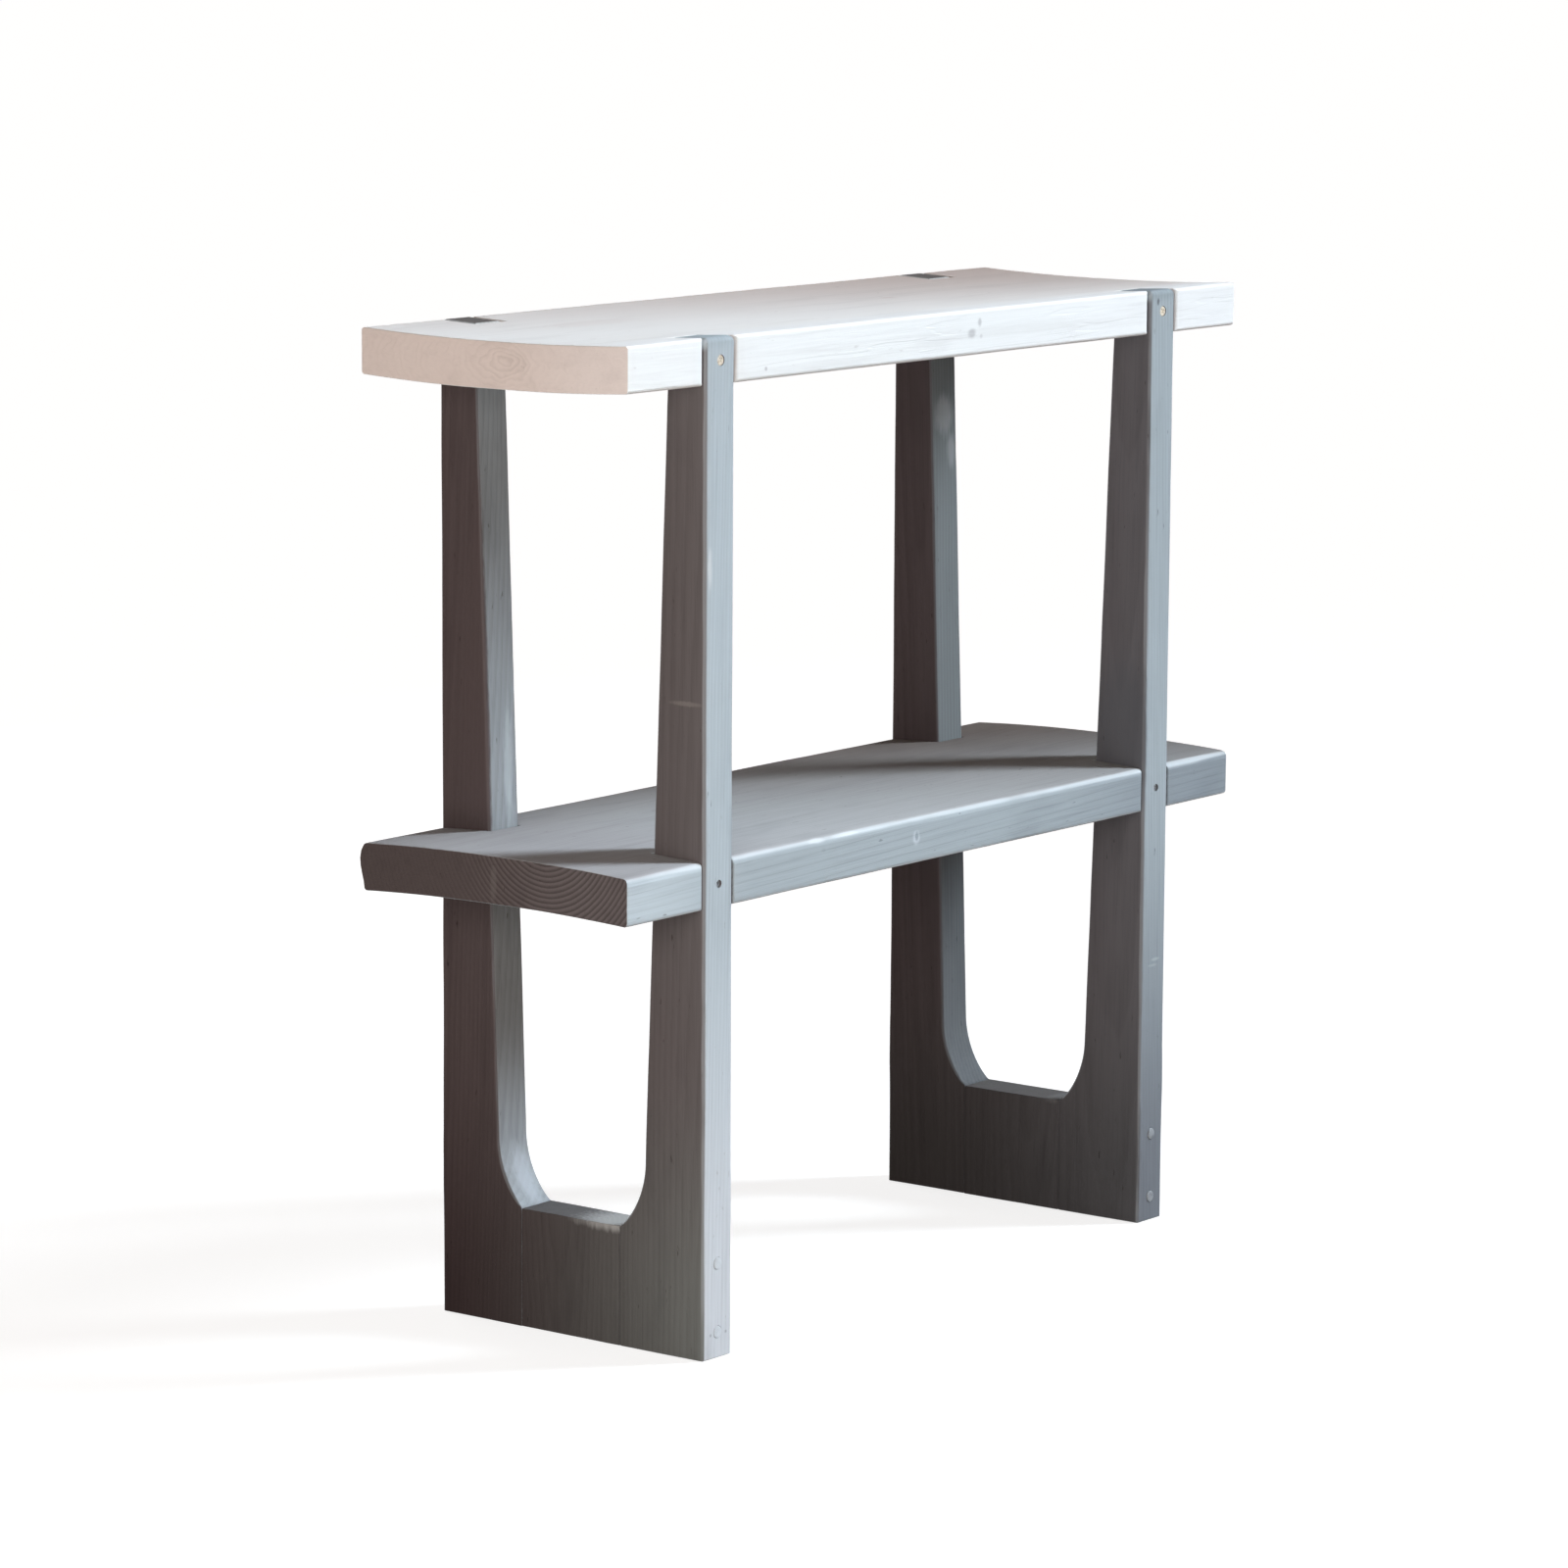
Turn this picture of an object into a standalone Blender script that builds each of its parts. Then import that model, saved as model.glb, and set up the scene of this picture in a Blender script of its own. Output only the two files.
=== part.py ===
"""A two-tier plant stand of planed softwood boards: two fork-shaped end frames carry two notched shelves.

A fork is two tapered legs and a centre block, held together at the foot by glued dowels. The legs stand in
notches in the long edges of both shelves, and one screw through each leg holds each shelf.
Metres, +Z up, +X along the shelves, the front towards -Y, the origin on the floor under the middle.
"""

import math
from collections import namedtuple

import bmesh
import bpy
from mathutils import Matrix, Vector

# Boards
BOARD_THICKNESS = 0.038
SHELF_LENGTH = 0.858
SHELF_WIDTH = 0.274
SHELF_ARRIS = 0.004
TOP_SHELF_DISH = 0.004
LOWER_SHELF_CROWN = 0.004

# Forks
SHELF_OVERHANG = 0.097
LEG_HEIGHT = 0.829
LOWER_SHELF_TOP = 0.409
LEG_WIDTH = 0.086
LEG_PROUD = 0.001
LEG_ARRIS = 0.003
TINE_TOP_WIDTH = 0.038
TINE_TAPER = math.radians(1.95)
THROAT_RADIUS = 0.080
BLOCK_HEIGHT = 0.100

# Screws through the legs into the shelves
SCREW_SHANK_RADIUS = 0.0022
SCREW_HEAD_HEIGHT = 0.0030
SCREW_POINT = 0.0060
SCREW_GRIP = 0.034
RECESS_SLOT = 0.0012
RECESS_DEPTH = 0.0014
TOP_SCREW_HEAD_RADIUS = 0.0043
TOP_SCREW_SINK = 0.0004
LOWER_SCREW_HEAD_RADIUS = 0.0031
LOWER_SCREW_SINK = 0.0030

# Dowels through the feet into the centre blocks
DOWEL_RADIUS = 0.0050
DOWEL_PROUD = 0.0008
DOWEL_GRIP = 0.030
DOWEL_EDGE_DISTANCE = 0.0215

# Clearances
GLUE_GAP = 0.0003
NOTCH_GAP = 0.0003
HOLE_GAP = 0.0003
CUT_MARGIN = 0.0020
MERGE_DISTANCE = 1e-5
SAME_PLACE = 1e-6

# Facets
SHELF_STRIPS = 9
ARRIS_STEPS = 3
THROAT_STEPS = 8
TURN_STEPS = 16

HALF_SHELF = SHELF_WIDTH / 2
HALF_DEPTH = HALF_SHELF + LEG_PROUD
FOOT_INNER = HALF_DEPTH - LEG_WIDTH
FORK_SPACING = SHELF_LENGTH - 2 * SHELF_OVERHANG - BOARD_THICKNESS
SIDES = {"left": -1, "right": 1}
EDGES = {"front": -1, "back": 1}
Shelf = namedtuple("Shelf", "edge_top middle_rise screw_head_radius screw_sink")
SHELVES = {
    "top": Shelf(LEG_HEIGHT, -TOP_SHELF_DISH, TOP_SCREW_HEAD_RADIUS, TOP_SCREW_SINK),
    "lower": Shelf(LOWER_SHELF_TOP, LOWER_SHELF_CROWN, LOWER_SCREW_HEAD_RADIUS, LOWER_SCREW_SINK),
}


def clear_scene():
    for leftover in list(bpy.data.objects):
        bpy.data.objects.remove(leftover, do_unlink=True)


def new_collection(name):
    collection = bpy.data.collections.new(name)
    bpy.context.scene.collection.children.link(collection)
    return collection


def new_material(name, colour, roughness, metallic=0.0):
    material = bpy.data.materials.new(name)
    material.use_nodes = True
    shader = material.node_tree.nodes["Principled BSDF"]
    shader.inputs["Base Color"].default_value = (*colour, 1.0)
    shader.inputs["Roughness"].default_value = roughness
    shader.inputs["Metallic"].default_value = metallic
    return material


clear_scene()
PARTS = new_collection("plant_stand")
CUTTERS = new_collection("plant_stand_cutters")
GREY_STAIN = new_material("grey_stained_pine", (0.33, 0.36, 0.39), 0.6)
WHITE_WASH = new_material("white_washed_pine", (0.82, 0.81, 0.79), 0.6)
STAINED_DOWEL = new_material("stained_dowel", (0.30, 0.32, 0.35), 0.6)
YELLOW_ZINC = new_material("yellow_zinc_steel", (0.78, 0.62, 0.30), 0.35, 1.0)
DARK_STEEL = new_material("dark_steel", (0.10, 0.10, 0.11), 0.5, 1.0)


def place(obj, collection, parent=None, location=(0, 0, 0), rotation=(0, 0, 0)):
    """Puts an object in one collection only, on its parent, and makes a cutter of it where that is its place."""
    for other in list(obj.users_collection):
        other.objects.unlink(obj)
    collection.objects.link(obj)
    obj.parent = parent
    obj.location = location
    obj.rotation_euler = rotation
    if collection is CUTTERS:
        obj.hide_render = True
        obj.display_type = "WIRE"
    return obj


def box(name, size, collection, material=None, **where):
    bpy.ops.mesh.primitive_cube_add(size=1.0)
    obj = bpy.context.object
    obj.name = name
    obj.data.name = name
    obj.data.transform(Matrix.Diagonal((*size, 1.0)))
    if material:
        obj.data.materials.append(material)
    return place(obj, collection, **where)


def turned(name, profile, collection, material=None, **where):
    """A solid turned about its own Z: the profile is (radius, height) points from the top down its outer side."""
    mesh = bpy.data.meshes.new(name)
    points = [(radius, 0.0, height) for radius, height in profile]
    mesh.from_pydata(points, [(i, i + 1) for i in range(len(points) - 1)], [])
    obj = place(bpy.data.objects.new(name, mesh), collection, **where)
    if material:
        mesh.materials.append(material)
    lathe = obj.modifiers.new("turn", "SCREW")
    lathe.steps = TURN_STEPS
    lathe.render_steps = TURN_STEPS
    lathe.use_merge_vertices = True
    lathe.merge_threshold = MERGE_DISTANCE
    lathe.use_smooth_shade = True
    return obj


def cut(obj, cutter):
    boolean = obj.modifiers.new(cutter.name, "BOOLEAN")
    boolean.operation = "DIFFERENCE"
    boolean.solver = "EXACT"
    boolean.object = cutter


def rise(distance, height):
    """How far a cupped board lies off level at this distance from its middle line, height being the middle's own."""
    flat = HALF_SHELF / SHELF_STRIPS
    share = (abs(distance) - flat) / (HALF_SHELF - flat)
    return height * (1.0 - min(max(share, 0.0), 1.0) ** 2)


def tine_width(height):
    """Width of a leg's tapered upper part at this height above the floor."""
    return TINE_TOP_WIDTH + (LEG_HEIGHT - height) * math.tan(TINE_TAPER)


def leg_outline():
    """Outline of a leg as (distance from the fork's middle, height), with the throat as an arc off the taper.

    The arc is tangent to the taper and ends at the centre block's top corner.
    """
    down = Vector((-math.sin(TINE_TAPER), -math.cos(TINE_TAPER)))
    inward = Vector((-math.cos(TINE_TAPER), math.sin(TINE_TAPER)))
    top_inner = Vector((HALF_DEPTH - TINE_TOP_WIDTH, LEG_HEIGHT))
    corner = Vector((FOOT_INNER, BLOCK_HEIGHT)) - top_inner
    across = corner.dot(inward)
    start = corner.dot(down) - math.sqrt(across * (2.0 * THROAT_RADIUS - across))
    sweep = math.acos(1.0 - across / THROAT_RADIUS)
    centre = top_inner + start * down + THROAT_RADIUS * inward
    throat = []
    for step in range(THROAT_STEPS + 1):
        angle = sweep * step / THROAT_STEPS
        throat.append(centre + THROAT_RADIUS * (math.sin(angle) * down - math.cos(angle) * inward))
    outer_top = LEG_HEIGHT + rise(HALF_DEPTH, -TOP_SHELF_DISH)
    inner_top = LEG_HEIGHT + rise(top_inner.x, -TOP_SHELF_DISH)
    inner_top_distance = HALF_DEPTH - tine_width(inner_top)
    outer = [(HALF_DEPTH, 0.0), (HALF_DEPTH, outer_top), (inner_top_distance, inner_top)]
    return outer + [tuple(point) for point in throat] + [(FOOT_INNER, 0.0)]


def extruded(name, outline, thickness):
    """A mesh of a flat outline, drawn as a filled curve in its own XY plane and given its thickness along Z."""
    curve = bpy.data.curves.new(name, "CURVE")
    curve.dimensions = "2D"
    curve.fill_mode = "BOTH"
    curve.extrude = thickness / 2
    spline = curve.splines.new("POLY")
    spline.points.add(len(outline) - 1)
    for point, (x, y) in zip(spline.points, outline):
        point.co = (x, y, 0.0, 1.0)
    spline.use_cyclic_u = True
    drawing = bpy.data.objects.new(name + "_drawing", curve)
    bpy.context.scene.collection.objects.link(drawing)
    graph = bpy.context.evaluated_depsgraph_get()
    mesh = bpy.data.meshes.new_from_object(drawing.evaluated_get(graph))
    mesh.name = name
    bpy.data.objects.remove(drawing, do_unlink=True)
    bpy.data.curves.remove(curve)
    return mesh


def round_edges(shape, chosen, radius):
    bmesh.ops.bevel(
        shape,
        geom=chosen,
        offset=radius,
        segments=ARRIS_STEPS,
        profile=0.5,
        affect="EDGES",
    )


def make_leg(name, edge, fork):
    """A leg of a fork, its two outer long edges rounded. The curve's plane is turned to stand along Y and Z."""
    outline = [(edge * distance, height) for distance, height in leg_outline()]
    mesh = extruded(name, outline, BOARD_THICKNESS)
    shape = bmesh.new()
    shape.from_mesh(mesh)
    bmesh.ops.remove_doubles(shape, verts=shape.verts, dist=MERGE_DISTANCE)
    bmesh.ops.recalc_face_normals(shape, faces=shape.faces)
    outer = []
    for line in shape.edges:
        ends = [vertex.co for vertex in line.verts]
        on_outer_face = all(abs(end.x - edge * HALF_DEPTH) < SAME_PLACE for end in ends)
        if on_outer_face and abs(ends[0].y - ends[1].y) > LEG_HEIGHT / 2:
            outer.append(line)
    round_edges(shape, outer, LEG_ARRIS)
    shape.to_mesh(mesh)
    shape.free()
    mesh.materials.clear()
    mesh.materials.append(GREY_STAIN)
    leg = bpy.data.objects.new(name, mesh)
    return place(leg, PARTS, parent=fork, rotation=(math.pi / 2, 0.0, math.pi / 2))


def middle_height(shelf_name):
    """Height of a shelf's middle plane at its long edges."""
    return SHELVES[shelf_name].edge_top - BOARD_THICKNESS / 2


def make_shelf(shelf_name, material):
    """A board cupped across its width in flat strips, with its four long edges rounded."""
    size = (SHELF_LENGTH, SHELF_WIDTH, BOARD_THICKNESS)
    centre = (0.0, 0.0, middle_height(shelf_name))
    shelf = box(f"{shelf_name}_shelf", size, PARTS, material, location=centre)
    shape = bmesh.new()
    shape.from_mesh(shelf.data)
    for strip in range(1, SHELF_STRIPS):
        line = SHELF_WIDTH * strip / SHELF_STRIPS - HALF_SHELF
        everything = shape.verts[:] + shape.edges[:] + shape.faces[:]
        bmesh.ops.bisect_plane(shape, geom=everything, plane_co=(0, line, 0), plane_no=(0, 1, 0))
    for vertex in shape.verts:
        vertex.co.z += rise(vertex.co.y, SHELVES[shelf_name].middle_rise)
    long_edges = []
    for line in shape.edges:
        first, second = (vertex.co for vertex in line.verts)
        runs_along = abs(first.x - second.x) > SHELF_LENGTH / 2
        if runs_along and abs(abs(first.y) - HALF_SHELF) < SAME_PLACE:
            long_edges.append(line)
    round_edges(shape, long_edges, SHELF_ARRIS)
    shape.to_mesh(shelf.data)
    shape.free()
    return shelf


def cut_notch(shelf_name, shelf, fork_name, edge_name):
    """A square notch for one leg, as deep as the leg is wide at the lowest point of the shelf's underside."""
    middle_rise = SHELVES[shelf_name].middle_rise
    underside = SHELVES[shelf_name].edge_top - BOARD_THICKNESS + min(0.0, middle_rise)
    depth = tine_width(underside) + NOTCH_GAP
    size = (
        BOARD_THICKNESS + 2 * NOTCH_GAP,
        depth + CUT_MARGIN,
        BOARD_THICKNESS + 2 * abs(middle_rise) + 2 * CUT_MARGIN,
    )
    centre = (
        SIDES[fork_name] * FORK_SPACING / 2,
        EDGES[edge_name] * (HALF_DEPTH - depth + size[1] / 2),
        middle_height(shelf_name),
    )
    notch = box(f"notch_{shelf_name}_{fork_name}_{edge_name}", size, CUTTERS, location=centre)
    cut(shelf, notch)


def screw_profile(head_radius, sink, length, gap=0.0):
    """From the surface inwards: a flat countersunk head, a shank and a point, all grown by the gap."""
    shoulder = -sink - SCREW_HEAD_HEIGHT
    return [
        (0.0, -sink),
        (head_radius + gap, -sink),
        (SCREW_SHANK_RADIUS + gap, shoulder),
        (SCREW_SHANK_RADIUS + gap, SCREW_POINT - length - gap),
        (0.0, -length - gap),
    ]


def outward_from_leg(fork, edge_name, height):
    """Place and turn of a turned piece whose top faces out of a leg's outer face at this height."""
    edge = EDGES[edge_name]
    return {
        "parent": fork,
        "location": (0.0, edge * HALF_DEPTH, height),
        "rotation": (-edge * math.pi / 2, 0.0, 0.0),
    }


def add_screw(name, shelf_name, shelf, leg, where):
    """A screw through a leg into a shelf, the hole for it in both, and the cross recess in its head."""
    head_radius = SHELVES[shelf_name].screw_head_radius
    sink = SHELVES[shelf_name].screw_sink
    length = tine_width(middle_height(shelf_name)) + SCREW_GRIP
    material = YELLOW_ZINC if shelf_name == "top" else DARK_STEEL
    screw = turned(name, screw_profile(head_radius, sink, length), PARTS, material, **where)
    hole_profile = screw_profile(head_radius, sink, length, HOLE_GAP)
    hole_profile[0] = (0.0, CUT_MARGIN)
    hole_profile.insert(1, (head_radius + HOLE_GAP, CUT_MARGIN))
    hole = turned(f"hole_{name}", hole_profile, CUTTERS, **where)
    cut(leg, hole)
    cut(shelf, hole)
    for slot_name, turn in (("upright", 0.0), ("level", math.pi / 2)):
        size = (RECESS_SLOT, head_radius, 2 * RECESS_DEPTH)
        slot_place = {"location": (0.0, 0.0, -sink), "rotation": (0.0, 0.0, turn)}
        slot = box(f"recess_{name}_{slot_name}", size, CUTTERS, parent=screw, **slot_place)
        cut(screw, slot)


def dowel_profile(gap=0.0):
    """From the proud outer end inwards, grown by the gap: the outer end is eased all round."""
    length = LEG_WIDTH + GLUE_GAP + DOWEL_GRIP
    return [
        (0.0, DOWEL_PROUD),
        (DOWEL_RADIUS - DOWEL_PROUD, DOWEL_PROUD),
        (DOWEL_RADIUS + gap, 0.0),
        (DOWEL_RADIUS + gap, -length - gap),
        (0.0, -length - gap),
    ]


def add_dowel(name, leg, block, where):
    """A dowel through a leg's foot into the centre block, with the hole for it in both."""
    turned(name, dowel_profile(), PARTS, STAINED_DOWEL, **where)
    hole_profile = dowel_profile(HOLE_GAP)
    hole_profile[0] = (0.0, CUT_MARGIN)
    hole_profile[1] = (DOWEL_RADIUS + HOLE_GAP, CUT_MARGIN)
    hole = turned(f"hole_{name}", hole_profile, CUTTERS, **where)
    cut(leg, hole)
    cut(block, hole)


def make_block(fork_name, fork):
    width = 2 * (FOOT_INNER - GLUE_GAP)
    size = (BOARD_THICKNESS, width, BLOCK_HEIGHT)
    centre = (0.0, 0.0, BLOCK_HEIGHT / 2)
    return box(f"{fork_name}_centre_block", size, PARTS, GREY_STAIN, parent=fork, location=centre)


def make_fork(fork_name, shelves):
    """One end frame: an empty at its place along the shelves, then its block, legs, dowels and screws."""
    fork = bpy.data.objects.new(f"{fork_name}_fork", None)
    place(fork, PARTS, location=(SIDES[fork_name] * FORK_SPACING / 2, 0.0, 0.0))
    block = make_block(fork_name, fork)
    dowel_heights = {"lower": DOWEL_EDGE_DISTANCE, "upper": BLOCK_HEIGHT - DOWEL_EDGE_DISTANCE}
    for edge_name, edge in EDGES.items():
        leg = make_leg(f"{fork_name}_{edge_name}_leg", edge, fork)
        for level, height in dowel_heights.items():
            name = f"foot_dowel_{fork_name}_{edge_name}_{level}"
            add_dowel(name, leg, block, outward_from_leg(fork, edge_name, height))
        for shelf_name, shelf in shelves.items():
            cut_notch(shelf_name, shelf, fork_name, edge_name)
            name = f"{shelf_name}_screw_{fork_name}_{edge_name}"
            where = outward_from_leg(fork, edge_name, middle_height(shelf_name))
            add_screw(name, shelf_name, shelf, leg, where)


def make_stand():
    shelves = {"top": make_shelf("top", WHITE_WASH), "lower": make_shelf("lower", GREY_STAIN)}
    for fork_name in SIDES:
        make_fork(fork_name, shelves)


make_stand()
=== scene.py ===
# %% [markdown]
# # A two-tier plant stand of stained softwood
# The stand has two fork-shaped end frames and two thick shelves, notched to drop over the tapered legs.
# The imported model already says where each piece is, so this lesson only remodels the pieces more finely,
# gives them their finish, and lights them. Every piece stays where its solid is.

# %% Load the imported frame
import math

import bmesh
import bpy
from mathutils import Matrix, Vector


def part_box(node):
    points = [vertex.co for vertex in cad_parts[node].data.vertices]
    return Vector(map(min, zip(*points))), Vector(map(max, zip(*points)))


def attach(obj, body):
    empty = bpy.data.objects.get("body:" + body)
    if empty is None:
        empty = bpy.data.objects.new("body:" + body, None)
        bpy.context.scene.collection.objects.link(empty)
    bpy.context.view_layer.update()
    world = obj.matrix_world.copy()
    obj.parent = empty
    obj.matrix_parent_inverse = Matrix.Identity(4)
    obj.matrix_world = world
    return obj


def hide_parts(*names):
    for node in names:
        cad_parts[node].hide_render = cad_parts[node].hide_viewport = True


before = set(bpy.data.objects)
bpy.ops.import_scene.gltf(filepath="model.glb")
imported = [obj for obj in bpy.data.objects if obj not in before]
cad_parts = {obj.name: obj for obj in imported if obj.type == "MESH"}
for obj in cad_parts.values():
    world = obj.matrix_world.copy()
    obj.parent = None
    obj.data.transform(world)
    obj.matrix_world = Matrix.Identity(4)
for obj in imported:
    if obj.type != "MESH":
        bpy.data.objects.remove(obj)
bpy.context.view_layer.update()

print("pieces in the frame:", len(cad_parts))

# %% [markdown]
# ## The camera
# The photograph was taken from the left front, a little above the top shelf, with a long lens. Seven numbers
# hold that view: a place, three angles and a focal length, which is given in pixels of the square photograph
# and turned into millimetres of a 36 mm sensor.

# %% Camera
PHOTO_PIXELS = 1600
FOCAL_PIXELS = 6226.19
SENSOR_MILLIMETRES = 36.0
CAMERA_PLACE = (-4.1083, -3.0951, 1.2423)
CAMERA_YAW = math.radians(52.6922)
CAMERA_PITCH = math.radians(-9.1046)
CAMERA_ROLL = math.radians(0.3058)

camera_data = bpy.data.cameras.new("photo_camera")
camera_data.sensor_width = SENSOR_MILLIMETRES
camera_data.lens = SENSOR_MILLIMETRES * FOCAL_PIXELS / PHOTO_PIXELS
camera = bpy.data.objects.new("photo_camera", camera_data)
bpy.context.scene.collection.objects.link(camera)
heading = Matrix.Rotation(-CAMERA_YAW, 3, "Z")
tilt = Matrix.Rotation(math.pi / 2 + CAMERA_PITCH, 3, "X")
roll = Matrix.Rotation(CAMERA_ROLL, 3, "Z")
camera.location = CAMERA_PLACE
camera.rotation_euler = (heading @ tilt @ roll).to_euler()
bpy.context.scene.camera = camera
bpy.context.scene.view_settings.view_transform = "Standard"
print("lens in millimetres:", round(camera_data.lens, 2))

# %% [markdown]
# ## Small helpers for finishes
# A finish is a tree of nodes. These helpers add one node each and give back its output, so that a finish
# reads from top to bottom like a recipe. A value may be a plain number or the output of another node, and
# a new node goes into the tree of the outputs that feed it. Three numbers say where a mix node, which can
# mix many kinds of values, has its two colours and its mixed colour.

# %% Node helpers
MIX_FIRST = 6
MIX_SECOND = 7
MIX_RESULT = 2


def new_finish(name):
    """A new material with its tree and its Principled shader."""
    finish = bpy.data.materials.new(name)
    finish.use_nodes = True
    tree = finish.node_tree
    return finish, tree, tree.nodes["Principled BSDF"]


def feed(node, feeds):
    """Feeds a node's inputs, by name or number: links an output, or writes down a plain value or colour."""
    for name, value in feeds.items():
        socket = node.inputs[name]
        if isinstance(value, bpy.types.NodeSocket):
            node.id_data.links.new(value, socket)
        elif socket.type == "RGBA":
            socket.default_value = (*value, 1.0)
        else:
            socket.default_value = value


def new_step(kind, feeds, **settings):
    """A new node with its settings and feeds, in the tree of the outputs that feed it."""
    tree = next(value.id_data for value in feeds.values() if isinstance(value, bpy.types.NodeSocket))
    step = tree.nodes.new("ShaderNode" + kind)
    for setting, value in settings.items():
        setattr(step, setting, value)
    feed(step, feeds)
    return step


def maths(operation, first, second=0.0, third=0.0):
    """One arithmetic step."""
    return new_step("Math", {0: first, 1: second, 2: third}, operation=operation).outputs[0]


def times(first, second):
    return maths("MULTIPLY", first, second)


def times_plus(first, second, third):
    """The first value times the second, plus the third."""
    return maths("MULTIPLY_ADD", first, second, third)


def vector_maths(operation, first, second=(0.0, 0.0, 0.0)):
    """One step of arithmetic on vectors. Length comes back as a number."""
    step = new_step("VectorMath", {0: first, 1: second}, operation=operation)
    return step.outputs["Value" if operation == "LENGTH" else "Vector"]


def between(value, low, high):
    """0 below low, 1 above high, and a smooth step in between. Low above high turns it round."""
    ends = (low, high, 0.0, 1.0) if low < high else (high, low, 1.0, 0.0)
    feeds = {"Value": value, **dict(zip(("From Min", "From Max", "To Min", "To Max"), ends))}
    return new_step("MapRange", feeds, interpolation_type="SMOOTHSTEP").outputs["Result"]


def mix(share, first, second, blend="MIX"):
    """The first colour where share is 0 and the second, or the two multiplied, where it is 1."""
    feeds = {"Factor": share, MIX_FIRST: first, MIX_SECOND: second}
    return new_step("Mix", feeds, data_type="RGBA", blend_type=blend).outputs[MIX_RESULT]


def fade(value, span, first, second):
    """The first colour before a span of a value, and the second after it."""
    return mix(between(value, *span), first, second)


def mapped(coordinates, scale, shift=(0.0, 0.0, 0.0)):
    """Coordinates moved and stretched, so that one pattern can follow one board."""
    return new_step("Mapping", {"Vector": coordinates, "Location": shift, "Scale": scale}).outputs[0]


def cloud(coordinates, detail=2.0, roughness=0.5):
    """A noise pattern: its level from 0 to 1, and its colour for moving other patterns about."""
    feeds = {"Vector": coordinates, "Scale": 1.0, "Detail": detail, "Roughness": roughness}
    step = new_step("TexNoise", feeds)
    return step.outputs["Fac"], step.outputs["Color"]


def ridged(shader, height, strength, depth):
    """Gives a shader fine ridges from a height pattern, at this depth in metres."""
    bump = new_step("Bump", {"Strength": strength, "Distance": depth, "Height": height})
    feed(shader, {"Normal": bump.outputs["Normal"]})


print("node helpers ready")

# %% [markdown]
# ## Floor, world and lamps
# The photograph's background is white, and its light is a broad cool window at the right front with warm
# light from the room on the left. The floor and the world are white only for what the camera sees, straight
# or in a reflection. For bounced light they are dim and warm, so the white adds none to the wood. A weak lamp
# behind the stand keeps its back readable from there, and shows in no reflection.

# %% World
WHITE = (1.0, 1.0, 1.0)
ROOM_COLOUR = (1.08, 0.80, 0.66)
ROOM_STRENGTH = 0.105


def seen_directly(tree):
    """1 for a ray from the camera, a reflection or a see-through surface, and 0 for bounced light."""
    path = tree.nodes.new("ShaderNodeLightPath")
    seen = maths("MAXIMUM", path.outputs["Is Camera Ray"], path.outputs["Is Glossy Ray"])
    return maths("MAXIMUM", seen, path.outputs["Is Transmission Ray"])


world = bpy.data.worlds.new("room")
bpy.context.scene.world = world
world.use_nodes = True
background = world.node_tree.nodes["Background"]
world_seen = seen_directly(world.node_tree)
room_light = tuple(ROOM_STRENGTH * channel for channel in ROOM_COLOUR)
feed(background, {"Color": mix(world_seen, room_light, WHITE), "Strength": 1.0})
print("room light:", [round(channel, 3) for channel in room_light])

# %% [markdown]
# The floor is a plane of pale paper. It glows for the camera, more so away from the stand, so that the
# background stays white and the shadow still shows. From below it is clear, to show the undersides.

# %% Floor
FLOOR_SIZE = 240.0
FLOOR_GAP = 0.0004
FLOOR_WHITE = (0.45, 0.45, 0.45)
FLOOR_BOUNCE = (0.36, 0.32, 0.29)
NEAR_GLOW = 0.785
FAR_GLOW = 0.96
GLOW_GROWS = (0.6, 1.6)

bpy.ops.object.select_all(action="DESELECT")
bpy.ops.mesh.primitive_plane_add(size=FLOOR_SIZE, location=(0.0, 0.0, -FLOOR_GAP))
floor = bpy.context.object
floor.name = "floor"
floor_finish, floor_tree, floor_shader = new_finish("floor_paper")
floor_seen = seen_directly(floor_tree)
floor_place = floor_tree.nodes.new("ShaderNodeTexCoord").outputs["Object"]
far_share = between(vector_maths("LENGTH", floor_place), *GLOW_GROWS)
glow = times_plus(far_share, FAR_GLOW - NEAR_GLOW, NEAR_GLOW)
floor_feeds = {
    "Base Color": mix(floor_seen, FLOOR_BOUNCE, FLOOR_WHITE),
    "Roughness": 1.0,
    "Specular IOR Level": 0.0,
    "Emission Color": WHITE,
    "Emission Strength": times(floor_seen, glow),
}
feed(floor_shader, floor_feeds)
underside = floor_tree.nodes.new("ShaderNodeNewGeometry").outputs["Backfacing"]
clear = floor_tree.nodes.new("ShaderNodeBsdfTransparent").outputs[0]
one_sided = new_step("MixShader", {0: underside, 1: floor_shader.outputs[0], 2: clear})
feed(floor_tree.nodes["Material Output"], {"Surface": one_sided.outputs[0]})
floor.data.materials.append(floor_finish)
print("floor:", FLOOR_SIZE, "metres square")

# %% Lamps
STAND_MIDDLE = (0.0, 0.0, 0.45)
WIDEST_SPREAD = 180.0
LAMPS = {
    "window": {
        "towards": (0.66, -0.49, 0.56),
        "distance": 5.5,
        "size": (1.1, 4.0),
        "radiance": 3.05,
        "colour": (0.885, 0.993, 1.082),
        "target": (-0.25, -0.20, 0.45),
        "spread": 44.0,
    },
    "room_fill": {
        "towards": (-0.90, -0.42, 0.10),
        "distance": 2.6,
        "size": (1.4, 1.4),
        "radiance": 6.6,
        "colour": (0.988, 0.93, 0.873),
    },
    "back_fill": {
        "towards": (0.25, 0.96, 0.13),
        "distance": 3.0,
        "size": (1.6, 1.2),
        "radiance": 4.2,
        "colour": (0.98, 0.97, 0.96),
        "reflected": False,
    },
}


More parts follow.
